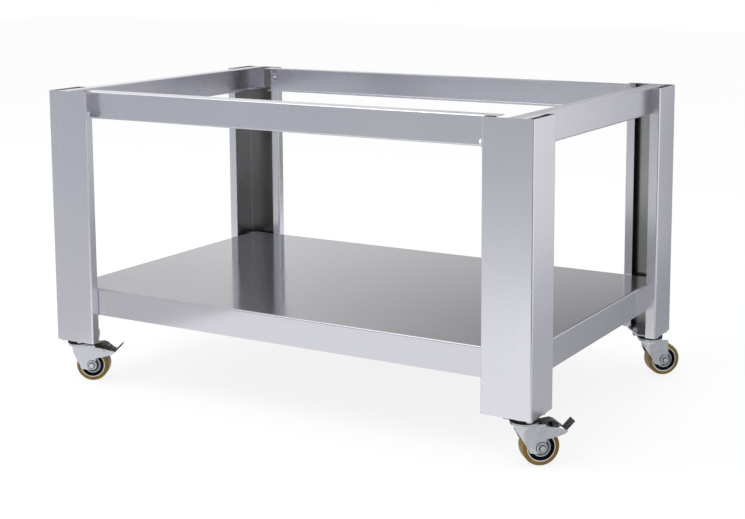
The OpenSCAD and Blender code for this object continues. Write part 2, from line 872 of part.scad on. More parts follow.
// Cast hub: rim, web and boss with a seat for a bearing at each end
module hub(c, turn) {
    rim_in = rim_r - hub_rim_t;
    color([0.20, 0.20, 0.23]) at_axle(c, turn) difference() {
        union() {
            translate([0, 0, -tyre_w / 2]) cylinder(r = rim_r, h = tyre_w, $fn = big_fn);
            translate([0, 0, -hub_w / 2]) cylinder(r = hub_boss_r, h = hub_w, $fn = big_fn);
        }
        for (s = [-1, 1]) scale([1, 1, s]) translate([0, 0, hub_web_t / 2])
            difference() {
                cylinder(r1 = rim_in - hub_rim_t, r2 = rim_in, h = tyre_w / 2, $fn = big_fn);
                cylinder(r1 = hub_boss_r + hub_rim_t, r2 = hub_boss_r, h = tyre_w / 2, $fn = big_fn);
            }
        for (z = [-hub_w / 2 - overrun, hub_w / 2 - bearing_w])
            translate([0, 0, z]) cylinder(r = bearing_r, h = bearing_w + overrun, $fn = big_fn);
        translate([0, 0, -hub_w / 2])
            cylinder(r = bearing_r - bearing_ring_t, h = hub_w, $fn = big_fn);
    }
}

// Tyre with rounded shoulders
module tyre(c, turn) {
    half = tyre_w / 2;
    r = wheel_d / 2;
    corner = [for (i = [0 : curve_steps])
        let (a = 90 * i / curve_steps)
        [r - tyre_round * (1 - cos(a)), half - tyre_round * (1 - sin(a))]];
    color([0.66, 0.50, 0.14]) at_axle(c, turn) rotate_extrude($fn = big_fn)
        polygon(concat(
            [[rim_r, -half]],
            [for (i = [0 : curve_steps])
                [corner[curve_steps - i][0], -corner[curve_steps - i][1]]],
            corner,
            [[rim_r, half]]
        ));
}

// Ball bearing in each end of the hub, with a shield between its rings
module bearings(c, turn) {
    bore = axle_r + run_gap;
    far = hub_w / 2;
    near = far - bearing_w;
    color([0.70, 0.71, 0.73]) at_axle(c, turn) for (s = [0, 1])
        mirror([0, 0, s]) rotate_extrude($fn = big_fn) polygon([
            [bore, near],
            [bearing_r, near],
            [bearing_r, far],
            [bearing_r - bearing_ring_t, far],
            [bearing_r - bearing_ring_t, far - shield_in],
            [bore + bearing_ring_t, far - shield_in],
            [bore + bearing_ring_t, far],
            [bore, far]
        ]);
}

// Line of the pedal's sheet in side view: nose, back, heel and tab
function pedal_line() = [
    [pin_x - pedal_nose_x, pin_z + pedal_nose_z],
    [pin_x - pedal_nose_x + ear_r, pin_z + pedal_back_z - pedal_t],
    [pin_x - ear_r, pin_z + pedal_back_z],
    [pin_x + ear_r / 2, pin_z + pedal_back_z - pedal_t],
    [pin_x + pedal_heel_x, pin_z - pedal_heel_z],
    [pin_x + pedal_heel_x + tab_len * cos(tab_angle), pin_z - pedal_heel_z + tab_len * sin(tab_angle)]
];

module pedal_side() {
    line = pedal_line();
    polygon(concat(beside(line, pedal_t / 2), flipped(beside(line, -pedal_t / 2))));
}

module ear_side() {
    translate([pin_x, pin_z]) circle(r = ear_r, $fn = small_fn);
    polygon([
        [pin_x - ear_r, pin_z],
        [pin_x - ear_r, pin_z + pedal_back_z],
        [pin_x + ear_r / 2, pin_z + pedal_back_z - pedal_t],
        [pin_x + 2 * ear_r, pin_z + ear_r],
        [pin_x + ear_r, pin_z]
    ]);
}

// Pressed pedal: a bent strip with two ears on the pin and ribs on its tab
module brake_pedal(c, turn) {
    heel = [pin_x + pedal_heel_x, 0, pin_z - pedal_heel_z];
    rib_pitch = (tab_len - pedal_t) / (rib_count + 1);
    color([0.06, 0.06, 0.07]) at_fork(c, turn) difference() {
        union() {
            translate([0, pedal_w / 2, 0]) rotate([90, 0, 0])
                linear_extrude(pedal_w) pedal_side();
            for (y = [-pedal_w / 2 + pedal_t, pedal_w / 2])
                translate([0, y, 0]) rotate([90, 0, 0]) linear_extrude(pedal_t) ear_side();
            translate(heel) rotate([0, -tab_angle, 0]) for (i = [1 : rib_count])
                translate([i * rib_pitch + pedal_t / 2, pedal_w / 2, pedal_t / 2]) rotate([90, 0, 0])
                    cylinder(r = rib_h, h = pedal_w, $fn = small_fn);
        }
        translate([pin_x, pedal_w, pin_z]) rotate([90, 0, 0])
            cylinder(r = brake_pin_r + run_gap, h = 2 * pedal_w, $fn = small_fn);
    }
}

// Side view of the shoe's arc, which faces the tyre below the pin
module shoe_side() {
    low = shoe_low_angle;
    high = shoe_high_angle;
    outer = shoe_r + shoe_t;
    difference() {
        union() {
            translate([trail, axle_z]) polygon(concat(
                [for (i = [0 : curve_steps])
                    let (a = low + (high - low) * i / curve_steps)
                    outer * [cos(a), sin(a)]],
                [(shoe_r - shoe_t) * [cos(high), sin(high)],
                    (shoe_r - shoe_t) * [cos(low), sin(low)]]
            ));
            translate([pin_x, pin_z]) circle(r = ear_r, $fn = small_fn);
        }
        translate([trail, axle_z]) circle(r = shoe_r, $fn = big_fn);
    }
}

// Brake shoe between the pedal's ears, hung on the same pin
module brake_shoe(c, turn) {
    color([0.10, 0.10, 0.11]) at_fork(c, turn) difference() {
        translate([0, shoe_half, 0]) rotate([90, 0, 0])
            linear_extrude(2 * shoe_half) shoe_side();
        translate([pin_x, pedal_w, pin_z]) rotate([90, 0, 0])
            cylinder(r = brake_pin_r + run_gap, h = 2 * pedal_w, $fn = small_fn);
    }
}

// Riveted pin of the pedal and the two sleeves that keep it in the middle
module brake_fasteners(c, turn) {
    head_r = brake_pin_r + fork_t / 2;
    sleeve_h = arm_in - pedal_w / 2 - side_play;
    color([0.80, 0.81, 0.83]) at_fork(c, turn) translate([pin_x, 0, pin_z])
        rotate([-90, 0, 0]) {
            translate([0, 0, -arm_out])
                cylinder(r = brake_pin_r, h = 2 * arm_out, $fn = small_fn);
            for (s = [0, 1]) mirror([0, 0, s]) {
                translate([0, 0, arm_out])
                    cylinder(r1 = head_r, r2 = brake_pin_r, h = fork_t / 2, $fn = small_fn);
                translate([0, 0, arm_in - sleeve_h]) difference() {
                    cylinder(r = head_r, h = sleeve_h, $fn = small_fn);
                    translate([0, 0, -overrun])
                        cylinder(r = brake_pin_r + run_gap, h = sleeve_h + 2 * overrun, $fn = small_fn);
                }
            }
        }
}

leg(FL);  // leg_front_left
leg(FR);  // leg_front_right
leg(RL);  // leg_rear_left
leg(RR);  // leg_rear_right
foot_plate(FL);  // foot_plate_front_left
foot_plate(FR);  // foot_plate_front_right
foot_plate(RL);  // foot_plate_rear_left
foot_plate(RR);  // foot_plate_rear_right
long_rail(-1);  // front_rail
long_rail(1);  // rear_rail
short_rail(-1);  // left_rail
short_rail(1);  // right_rail
shelf();
shelf_stiffeners();
rail_brackets();
frame_bolts();
frame_nuts();
caster_bolts();
caster_nuts();
kingpins();
caster_plate(FL);  // caster_plate_fl
caster_plate(FR);  // caster_plate_fr
caster_plate(RL);  // caster_plate_rl
caster_plate(RR);  // caster_plate_rr
race_balls(FL, front_left_turn);  // race_balls_fl
race_balls(FR, front_right_turn);  // race_balls_fr
race_balls(RL, rear_left_turn);  // race_balls_rl
race_balls(RR, rear_right_turn);  // race_balls_rr
dust_seal(FL, front_left_turn);  // dust_seal_fl
dust_seal(FR, front_right_turn);  // dust_seal_fr
dust_seal(RL, rear_left_turn);  // dust_seal_rl
dust_seal(RR, rear_right_turn);  // dust_seal_rr
fork(FL, front_left_turn, true);  // fork_fl
fork(FR, front_right_turn, true);  // fork_fr
fork(RL, rear_left_turn, false);  // fork_rl
fork(RR, rear_right_turn, false);  // fork_rr
axle(FL, front_left_turn);  // axle_fl
axle(FR, front_right_turn);  // axle_fr
axle(RL, rear_left_turn);  // axle_rl
axle(RR, rear_right_turn);  // axle_rr
hub(FL, front_left_turn);  // hub_fl
hub(FR, front_right_turn);  // hub_fr
hub(RL, rear_left_turn);  // hub_rl
hub(RR, rear_right_turn);  // hub_rr
tyre(FL, front_left_turn);  // tyre_fl
tyre(FR, front_right_turn);  // tyre_fr
tyre(RL, rear_left_turn);  // tyre_rl
tyre(RR, rear_right_turn);  // tyre_rr
bearings(FL, front_left_turn);  // bearings_fl
bearings(FR, front_right_turn);  // bearings_fr
bearings(RL, rear_left_turn);  // bearings_rl
bearings(RR, rear_right_turn);  // bearings_rr
brake_pedal(FL, front_left_turn);  // brake_pedal_fl
brake_pedal(FR, front_right_turn);  // brake_pedal_fr
brake_shoe(FL, front_left_turn);  // brake_shoe_fl
brake_shoe(FR, front_right_turn);  // brake_shoe_fr
brake_fasteners(FL, front_left_turn);  // brake_fasteners_fl
brake_fasteners(FR, front_right_turn);  // brake_fasteners_fr
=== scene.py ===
import json
import math

import bmesh
import bpy
from bpy.props import FloatProperty, FloatVectorProperty, IntProperty, PointerProperty
from mathutils import Matrix, Vector


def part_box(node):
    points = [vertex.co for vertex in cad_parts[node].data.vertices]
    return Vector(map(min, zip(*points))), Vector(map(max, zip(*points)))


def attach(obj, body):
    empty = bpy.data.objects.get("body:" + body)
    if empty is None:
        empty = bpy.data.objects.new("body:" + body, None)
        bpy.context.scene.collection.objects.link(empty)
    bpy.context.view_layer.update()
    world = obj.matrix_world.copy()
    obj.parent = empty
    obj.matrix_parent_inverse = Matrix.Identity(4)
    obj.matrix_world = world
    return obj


bl_info = {
    "name": "Oven table dressing",
    "version": (1, 0, 0),
    "blender": (4, 5, 0),
    "location": "View3D > Sidebar > Oven table",
    "description": "Dresses an open steel oven table: folded frame, tray shelf, casters and brakes",
    "category": "Object",
}

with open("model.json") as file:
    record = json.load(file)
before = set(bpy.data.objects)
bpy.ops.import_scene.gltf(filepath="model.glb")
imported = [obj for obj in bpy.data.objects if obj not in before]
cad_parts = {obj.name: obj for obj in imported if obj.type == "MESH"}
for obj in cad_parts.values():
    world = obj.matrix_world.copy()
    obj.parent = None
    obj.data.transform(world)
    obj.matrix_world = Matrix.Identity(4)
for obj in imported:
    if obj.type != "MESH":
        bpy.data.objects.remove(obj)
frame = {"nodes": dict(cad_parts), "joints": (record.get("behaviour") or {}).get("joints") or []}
NODES = frame["nodes"]
JOINTS = {j["name"]: j for j in frame["joints"]}
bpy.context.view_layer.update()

CORNERS = ("fl", "fr", "rl", "rr")
BRAKED = ("fl", "fr")
LEGS = ("leg_front_left", "leg_front_right", "leg_rear_left", "leg_rear_right")
FEET = tuple(n.replace("leg_", "foot_plate_") for n in LEGS)
LONG_RAILS = ("front_rail", "rear_rail")
SIDE_RAILS = ("left_rail", "right_rail")
X, Y, Z = range(3)
UP = Vector((0, 0, 1))
WHITE = (1.0, 1.0, 1.0)
MM = 0.001


class SteelSettings(bpy.types.PropertyGroup):
    frame_colour: FloatVectorProperty(
        name="Frame steel", description="Colour of the brushed legs and rails",
        default=(0.72, 0.715, 0.765), subtype="COLOR", min=0.0, max=1.0)
    shelf_colour: FloatVectorProperty(
        name="Shelf steel", description="Colour of the shelf's rims",
        default=(0.67, 0.665, 0.71), subtype="COLOR", min=0.0, max=1.0)
    # Painted shade: a darker colour laid on the shelf's upper face, standing in for the dark
    # reflections on it.
    shelf_top_shade: FloatVectorProperty(
        name="Shelf top", description="Colour of the shelf's worn upper face",
        default=(0.45, 0.443, 0.468), subtype="COLOR", min=0.0, max=1.0)
    # Painted shade: a darker colour laid on the faces inside the legs, standing in for the shade in
    # their channels.
    leg_inside_shade: FloatVectorProperty(
        name="Leg insides", description="Colour of the legs' unbrushed inner faces",
        default=(0.38, 0.38, 0.365), subtype="COLOR", min=0.0, max=1.0)
    plate_colour: FloatVectorProperty(
        name="Plate steel", description="Colour of foot plates and brackets",
        default=(0.46, 0.47, 0.50), subtype="COLOR", min=0.0, max=1.0)
    frame_roughness: FloatProperty(
        name="Frame roughness", description="Roughness of the brushed legs and rails",
        default=0.27, min=0.05, max=1.0)
    shelf_roughness: FloatProperty(
        name="Shelf roughness", description="Roughness of the shelf",
        default=0.115, min=0.05, max=1.0)
    plate_roughness: FloatProperty(
        name="Plate roughness", description="Roughness of foot plates and brackets",
        default=0.36, min=0.05, max=1.0)
    stiffener_roughness: FloatProperty(
        name="Stiffener roughness", description="Roughness of the shelf's stiffeners",
        default=0.34, min=0.05, max=1.0)
    edge_round: FloatProperty(
        name="Edge rounding", description="Rounding of cut sheet edges",
        default=0.35 * MM, min=0.0, max=1.0 * MM, unit="LENGTH")


class CasterSettings(bpy.types.PropertyGroup):
    zinc_colour: FloatVectorProperty(
        name="Zinc", description="Colour of the zinc-plated pressings",
        default=(0.72, 0.73, 0.77), subtype="COLOR", min=0.0, max=1.0)
    tyre_colour: FloatVectorProperty(
        name="Tyre", description="Colour of the cast tyres",
        default=(0.385, 0.240, 0.010), subtype="COLOR", min=0.0, max=1.0)
    hub_colour: FloatVectorProperty(
        name="Hub", description="Colour of the moulded hubs",
        default=(0.022, 0.022, 0.026), subtype="COLOR", min=0.0, max=1.0)
    pedal_colour: FloatVectorProperty(
        name="Pedal", description="Colour of the coated brake pedals",
        default=(0.006, 0.006, 0.007), subtype="COLOR", min=0.0, max=1.0)


class FixingSettings(bpy.types.PropertyGroup):
    thread_pitch: FloatProperty(
        name="Thread pitch", description="Pitch of the bolts' threads",
        default=1.25 * MM, min=0.5 * MM, max=2.0 * MM, unit="LENGTH")
    thread_depth: FloatProperty(
        name="Thread depth", description="Depth of the bolts' threads",
        default=0.35 * MM, min=0.1 * MM, max=0.6 * MM, unit="LENGTH")
    spring_wire: FloatProperty(
        name="Spring wire", description="Thickness of the brake spring's wire",
        default=1.2 * MM, min=0.6 * MM, max=1.6 * MM, unit="LENGTH")
    spring_turns: IntProperty(
        name="Spring turns", description="Number of turns of the brake spring",
        default=9, min=4, max=12)
    dimple_pitch: FloatProperty(
        name="Spot weld spacing", description="Distance between spot welds along a stiffener",
        default=90 * MM, min=40 * MM, max=200 * MM, unit="LENGTH")


class StageSettings(bpy.types.PropertyGroup):
    floor_size: FloatProperty(
        name="Floor size", description="Width of the pale floor",
        default=30.0, min=5.0, max=60.0, unit="LENGTH")
    key_power: FloatProperty(
        name="Key lamp", description="Power of the large soft lamp above the front",
        default=60.0, min=0.0, max=500.0, subtype="POWER")
    fill_power: FloatProperty(
        name="Fill lamp", description="Power of the soft lamp at the left",
        default=25.0, min=0.0, max=500.0, subtype="POWER")


class Recipe:
    """A material with its principled shader and short ways to add nodes to it."""

    def __init__(self, name, colour, roughness, metallic=0.0, **sockets):
        self.material = bpy.data.materials.new(name)
        self.material.use_nodes = True
        self.tree = self.material.node_tree
        self.shader = self.tree.nodes["Principled BSDF"]
        self.shader.inputs["Base Color"].default_value = (*colour, 1.0)
        self.shader.inputs["Roughness"].default_value = roughness
        self.shader.inputs["Metallic"].default_value = metallic
        for key, value in sockets.items():
            self.shader.inputs[key.replace("_", " ")].default_value = value
        self.place = self.tree.nodes.new("ShaderNodeTexCoord").outputs["Object"]

    def link(self, a, b):
        self.tree.links.new(a, b)

    def node(self, kind, **settings):
        node = self.tree.nodes.new(kind)
        for key, value in settings.items():
            setattr(node, key, value)
        return node

    def stretched(self, scale):
        mapping = self.node("ShaderNodeMapping")
        mapping.inputs["Scale"].default_value = scale
        self.link(self.place, mapping.inputs["Vector"])
        return mapping.outputs["Vector"]

    def noise(self, size=1.0, detail=4.0, rough=0.55, scale=(1, 1, 1)):
        noise = self.node("ShaderNodeTexNoise")
        noise.inputs["Scale"].default_value = size
        noise.inputs["Detail"].default_value = detail
        noise.inputs["Roughness"].default_value = rough
        self.link(self.stretched(scale), noise.inputs["Vector"])
        return noise.outputs["Fac"]

    def ranged(self, value, low, high, out_low, out_high):
        """Moves a value from the range low to high to the range out_low to out_high."""
        node = self.node("ShaderNodeMapRange")
        for key, number in (("From Min", low), ("From Max", high),
                            ("To Min", out_low), ("To Max", out_high)):
            node.inputs[key].default_value = number
        self.link(value, node.inputs["Value"])
        return node.outputs["Result"]

    def ramp(self, value, *stops):
        """Turns a value into a colour, through (position, colour) stops."""
        node = self.node("ShaderNodeValToRGB")
        marks = node.color_ramp.elements
        while len(marks) < len(stops):
            marks.new(0.5)
        for mark, (position, colour) in zip(marks, stops):
            mark.position = position
            mark.color = (*colour, 1.0)
        self.link(value, node.inputs["Fac"])
        return node.outputs["Color"]

    def blend(self, factor, a, b, kind="MIX"):
        """Mixes two colours, each a socket or three numbers."""
        first, second, result = 6, 7, 2
        node = self.node("ShaderNodeMix", data_type="RGBA", blend_type=kind)
        if isinstance(factor, float):
            node.inputs["Factor"].default_value = factor
        else:
            self.link(factor, node.inputs["Factor"])
        for index, value in ((first, a), (second, b)):
            if isinstance(value, bpy.types.NodeSocket):
                self.link(value, node.inputs[index])
            else:
                node.inputs[index].default_value = (*value, 1.0)
        return node.outputs[result]

    def times(self, a, b):
        return self.blend(1.0, a, b, "MULTIPLY")

    def axes(self, vector):
        """The X, Y and Z outputs of a vector."""
        split = self.node("ShaderNodeSeparateXYZ")
        self.link(vector, split.inputs[0])
        return split.outputs

    def facing(self):
        """The X, Y and Z outputs of the face's own direction."""
        return self.axes(self.node("ShaderNodeNewGeometry").outputs["Normal"])

    def maths(self, operation, a, b=0.0):
        node = self.node("ShaderNodeMath", operation=operation)
        for socket, value in zip(node.inputs, (a, b)):
            if isinstance(value, (int, float)):
                socket.default_value = value
            else:
                self.link(value, socket)
        return node.outputs[0]

    def bump(self, *heights):
        """Chains (height, strength, distance) bumps into the shader's normal."""
        normal = None
        for height, strength, distance in heights:
            node = self.node("ShaderNodeBump")
            node.inputs["Strength"].default_value = strength
            node.inputs["Distance"].default_value = distance
            self.link(height, node.inputs["Height"])
            if normal is not None:
                self.link(normal, node.inputs["Normal"])
            normal = node.outputs["Normal"]
        self.link(normal, self.shader.inputs["Normal"])

    def edge_wear(self, low=0.52, high=0.60):
        """0 on plain faces and 1 on edges that stick out."""
        geometry = self.node("ShaderNodeNewGeometry")
        return self.ranged(geometry.outputs["Pointiness"], low, high, 0.0, 1.0)


def shade(colour, factor):
    return tuple(min(1.0, c * factor) for c in colour)


def share(colour, base):
    """What a base colour is multiplied by to give another colour."""
    return tuple(a / b for a, b in zip(colour, base))


# Scales of the brushed lines and of the broad streaks, across and along them
GRAIN = (1800.0, 9.0)
STREAK = (160.0, 1.2)
STREAK_TINT = (0.985, 0.985, 1.0)


def along_axis(axis, scales):
    """Noise scales for lines that run along one axis."""
    fine, long = scales
    return tuple(long if i == axis else fine for i in range(3))


def brushed(name, colour, roughness, axis, haze=0.008, depth=0.0012, metallic=1.0, top=None,
            inside=None):
    """Brushed sheet with its grain along one axis.

    haze is the grain's share in the roughness and depth is its share in the bump. top and inside
    are painted shade: darker colours laid on the upper faces and on the faces inside the legs.
    """
    m = Recipe(name, colour, roughness, metallic)
    grain = m.noise(detail=3.0, rough=0.6, scale=along_axis(axis, GRAIN))
    streak = m.noise(detail=2.0, rough=0.5, scale=along_axis(axis, STREAK))
    cloud = m.noise(size=3.2, detail=1.0, rough=0.4)
    smudge = m.noise(size=9.0, detail=2.0, rough=0.4)
    fine = m.ramp(grain, (0.32, shade(colour, 0.98)), (0.68, shade(colour, 1.015)))
    broad = m.ramp(streak, (0.35, STREAK_TINT), (0.65, WHITE))
    base = m.times(fine, broad)
    # Painted shade: faces that look upward are darkened towards the top colour.
    if top is not None:
        upper = m.ranged(m.facing()["Z"], 0.5, 0.9, 0.0, 1.0)
        base = m.blend(upper, base, m.times(base, share(top, colour)))
    # Painted shade: the faces inside the legs are darkened to stand in for the shade in their
    # channels.
    if inside is not None:
        base = m.blend(leg_inside_shade_mask(m), base, m.times(fine, share(inside, colour)))
    m.link(base, m.shader.inputs["Base Color"])
    rough = m.ranged(grain, 0.3, 0.7, roughness - haze, roughness + haze)
    rough = m.maths("ADD", rough, m.ranged(cloud, 0.35, 0.65, -0.03, 0.03))
    rough = m.maths("ADD", rough, m.ranged(smudge, 0.50, 0.75, 0.0, 0.03))
    m.link(rough, m.shader.inputs["Roughness"])
    m.bump((grain, depth, 0.02 * MM), (cloud, 0.02, 0.3 * MM))
    return m.material


def leg_inside_shade_mask(m):
    """Mask of the painted shade inside the legs: 1 on the faces inside the legs and 0 elsewhere.

    The four legs are alike, so the front right one's box gives the planes for all of them. Faces
    that look along X count for little, and the outer lip's for nothing.
    """
    low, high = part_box("leg_front_right")
    skin = 1.2 * MM
    lip_depth, lip_reach = 23.5 * MM, 94 * MM
    looks_along_x, taken_off = 0.985, 0.92
    place, facing = m.axes(m.place), m.facing()
    x, y = (m.maths("ABSOLUTE", place[name]) for name in ("X", "Y"))
    box = m.maths("LESS_THAN", x, high.x - skin)
    for value, operation, limit in ((x, "GREATER_THAN", low.x + skin),
                                    (y, "LESS_THAN", -low.y - skin),
                                    (y, "GREATER_THAN", -high.y + skin)):
        box = m.maths("MULTIPLY", box, m.maths(operation, value, limit))
    lip = m.maths("MULTIPLY", m.maths("LESS_THAN", y, -low.y - lip_depth),
                  m.maths("LESS_THAN", x, high.x - lip_reach))
    side = m.maths("GREATER_THAN", m.maths("ABSOLUTE", facing["X"]), looks_along_x)
    side = m.maths("MULTIPLY", side, taken_off)
    for part in (lip, side):
        box = m.maths("MULTIPLY", box, m.maths("SUBTRACT", 1.0, part))
    return box


def zinc(name, colour):
    """Bright zinc plating with faint crystal clouds and duller patches."""
    m = Recipe(name, colour, roughness=0.28, metallic=0.68)
    cell = m.node("ShaderNodeTexVoronoi", feature="F1")
    cell.inputs["Scale"].default_value = 260.0
    m.link(m.place, cell.inputs["Vector"])
    cloud = m.noise(size=60.0, detail=4.0)
    drawn = m.noise(size=700.0, detail=2.0)
    base = m.ramp(cloud, (0.3, shade(colour, 0.93)), (0.7, colour))
    warm = m.ramp(cell.outputs["Distance"], (0.0, (1.0, 0.985, 0.95)), (0.6, (0.97, 0.985, 1.0)))
    m.link(m.times(base, warm), m.shader.inputs["Base Color"])
    rough = m.maths("ADD", m.ranged(cloud, 0.3, 0.7, 0.20, 0.36),
                    m.ranged(drawn, 0.3, 0.7, 0.0, 0.05))
    m.link(rough, m.shader.inputs["Roughness"])
    m.bump((drawn, 0.05, 0.03 * MM), (cloud, 0.05, 0.10 * MM))
    return m.material


def polished(name, colour):
    """Ground bearing steel with fine machining marks."""
    m = Recipe(name, colour, roughness=0.16, metallic=1.0)
    marks = m.noise(size=900.0, detail=3.0)
    haze = m.noise(size=90.0, detail=3.0)
    base = m.ramp(haze, (0.3, shade(colour, 0.88)), (0.7, colour))
    m.link(base, m.shader.inputs["Base Color"])
    m.link(m.ranged(marks, 0.3, 0.7, 0.10, 0.24), m.shader.inputs["Roughness"])
    m.bump((marks, 0.12, 0.02 * MM))
    return m.material


def cast_tyre(name, colour):
    """Amber cast tyre: slightly clear, satin, with a scuffed and dusty tread."""
    m = Recipe(name, colour, roughness=0.38, Subsurface_Weight=0.18, Coat_Weight=0.06,
               Coat_Roughness=0.25)
    m.shader.inputs["Subsurface Radius"].default_value = (3.0 * MM, 1.5 * MM, 0.4 * MM)
    cloud = m.noise(size=45.0, detail=4.0)
    scuff = m.noise(size=420.0, detail=5.0, rough=0.7)
    dark, light = (tuple(c * f for c, f in zip(colour, factors))
                   for factors in ((0.72, 0.66, 0.6), (1.12, 1.15, 1.3)))
    base = m.ramp(cloud, (0.3, dark), (0.7, light))
    dust, dust_colour = m.ranged(scuff, 0.62, 0.80, 0.0, 0.14), (0.50, 0.36, 0.14)
    m.link(m.blend(dust, base, dust_colour), m.shader.inputs["Base Color"])
    m.link(m.ranged(scuff, 0.3, 0.75, 0.32, 0.62), m.shader.inputs["Roughness"])
    m.bump((scuff, 0.25, 0.05 * MM), (cloud, 0.2, 0.2 * MM))
    return m.material


def moulded(name, colour, roughness=0.5, grain=900.0):
    """Moulded dark plastic or rubber with a fine even grain and paler edges."""
    m = Recipe(name, colour, roughness, Specular_IOR_Level=0.22)
    pores = m.noise(size=grain, detail=2.0, rough=0.6)
    cloud = m.noise(size=40.0, detail=3.0)
    base = m.ramp(cloud, (0.3, shade(colour, 0.8)), (0.7, shade(colour, 1.25)))
    pale = tuple(min(1.0, c * 1.6 + 0.008) for c in colour)
    m.link(m.blend(m.edge_wear(), base, pale), m.shader.inputs["Base Color"])
    rough = m.ranged(pores, 0.3, 0.7, roughness - 0.08, roughness + 0.1)
    m.link(rough, m.shader.inputs["Roughness"])
    m.bump((pores, 0.3, 0.05 * MM))
    return m.material


def coated(name, colour):
    """Black coating on pressed steel, rubbed through to grey on the ribs and edges."""
    m = Recipe(name, colour, roughness=0.34, Specular_IOR_Level=0.22)
    orange_peel = m.noise(size=320.0, detail=3.0)
    rub = m.noise(size=260.0, detail=5.0, rough=0.7)
    worn = m.maths("MULTIPLY", m.edge_wear(0.53, 0.62), m.ranged(rub, 0.42, 0.62, 0.0, 1.0))
    bare_steel = (0.22, 0.22, 0.23)
    m.link(m.blend(worn, colour, bare_steel), m.shader.inputs["Base Color"])
    m.link(m.ranged(rub, 0.3, 0.7, 0.34, 0.55), m.shader.inputs["Roughness"])
    m.bump((orange_peel, 0.25, 0.08 * MM))
    return m.material


def dress(name, material, rounding=0.0):
    """Gives a CAD node its finish, and rounds its edges where a width is given."""
    obj = NODES[name]
    if not obj.material_slots:
        obj.data.materials.append(material)
    for slot in obj.material_slots:
        slot.material = material
    if rounding:
        soften(obj, rounding)


def soften(obj, width):
    """Rounds sharp edges a little, so that they catch the light."""
    bevel = obj.modifiers.new("edge rounding", "BEVEL")
    bevel.width = width
    bevel.segments = 2
    bevel.limit_method = "ANGLE"
    bevel.angle_limit = math.radians(35.0)
    bevel.harden_normals = True
    bevel.use_clamp_overlap = True


def new_piece(name, mesh, material, body):
    """A finished piece of the scene alone, which rides on a body."""
    obj = bpy.data.objects.new(name, mesh)
    bpy.context.scene.collection.objects.link(obj)
    mesh.materials.append(material)
    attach(obj, body)


def ring_point(radius, i, sides, height):
    """Point i of a circle round the Z axis."""
    angle = 2 * math.pi * i / sides
    return Vector((radius * math.cos(angle), radius * math.sin(angle), height))


def lathe(bm, profile, sides, place):
    """Turns (radius, height) points round the local Z axis. Radius 0 closes on the axis."""
    rings = []
    for radius, height in profile:
        count = sides if radius > 0.0 else 1
        rings.append([bm.verts.new(place @ ring_point(radius, i, sides, height))
                      for i in range(count)])
    for a, b in zip(rings, rings[1:]):
        for i in range(sides):
            j = (i + 1) % sides
            if len(a) == 1:
                bm.faces.new((a[0], b[i], b[j]))
            elif len(b) == 1:
                bm.faces.new((a[i], b[0], a[j]))
            else:
                bm.faces.new((a[i], b[i], b[j], a[j]))


def in_mm(*profile):
    """A turned profile that is written in millimetres, in metres."""
    return [(radius * MM, height * MM) for radius, height in profile]


def skin_rings(bm, rings):
    """Joins each ring of corners to the next, and closes the first."""
    for a, b in zip(rings, rings[1:]):
        for i in range(len(a)):
            j = (i + 1) % len(a)
            bm.faces.new((a[i], a[j], b[j], b[i]))
    bm.faces.new(reversed(rings[0]))


def finish_mesh(bm, name, smooth_angle=32.0):
    """Merges and orients what was turned or wound, and smooths it up to an angle."""
    bmesh.ops.remove_doubles(bm, verts=bm.verts, dist=1e-7)
    bmesh.ops.recalc_face_normals(bm, faces=bm.faces)
    mesh = bpy.data.meshes.new(name)
    bm.to_mesh(mesh)
    bm.free()
    mesh.polygons.foreach_set("use_smooth", [True] * len(mesh.polygons))
    mesh.set_sharp_from_angle(angle=math.radians(smooth_angle))
    return mesh


def islands(name):
    """The corner points of each separate solid of a CAD node."""
    mesh = NODES[name].data
    same_point = 0.002 * MM
    parent = list(range(len(mesh.vertices)))
    seen = {}
    for vert in mesh.vertices:
        key = tuple(round(x / same_point) for x in vert.co)
        parent[vert.index] = seen.setdefault(key, vert.index)

    def root(i):
        while parent[i] != i:
            parent[i] = parent[parent[i]]
            i = parent[i]
        return i

    for edge in mesh.edges:
        a, b = (root(i) for i in edge.vertices)
        if a != b:
            parent[b] = a
    groups = {}
    for vert in mesh.vertices:
        groups.setdefault(root(vert.index), []).append(vert.co.copy())
    return [groups[key] for key in sorted(groups)]


def along(start, direction):
    """Placement with its Z axis along a direction and its origin at a point."""
    turn = Vector(direction).to_track_quat("Z", "Y").to_matrix().to_4x4()
    return Matrix.Translation(start) @ turn


def extents(points):
    """The lowest and the highest coordinates of some points."""
    return ([pick(p[i] for p in points) for i in range(3)] for pick in (min, max))


def bolt_tip(points):
    """(end point, outward direction, shank radius) of a bolt's threaded end, its narrower one."""
    low, high = extents(points)
    axis = max(range(3), key=lambda i: high[i] - low[i])
    middle = Vector([(a + b) / 2 for a, b in zip(low, high)])
    end_skin = 0.3 * MM
    ends = []
    for level, sign in ((low[axis], -1), (high[axis], 1)):
        near = [p for p in points if abs(p[axis] - level) < end_skin]
        spread = max(abs(p[i] - middle[i]) for p in near for i in range(3) if i != axis)
        ends.append((spread, level, sign))
    radius, level, sign = min(ends)
    tip = middle.copy()
    tip[axis] = level
    outward = Vector((0, 0, 0))
    outward[axis] = sign
    return tip, outward, radius


def wheel_axis(corner):
    """(centre, axis) of a wheel."""
    joint = JOINTS["wheel_spin_" + corner]
    return Vector(joint["pos_m"]), Vector(joint["axis"])


def brake_pin(corner):
    """(centre, axis) of the pin that a pedal rocks on."""
    joint = JOINTS["brake_" + corner]
    return Vector(joint["pos_m"]), Vector(joint["axis"])


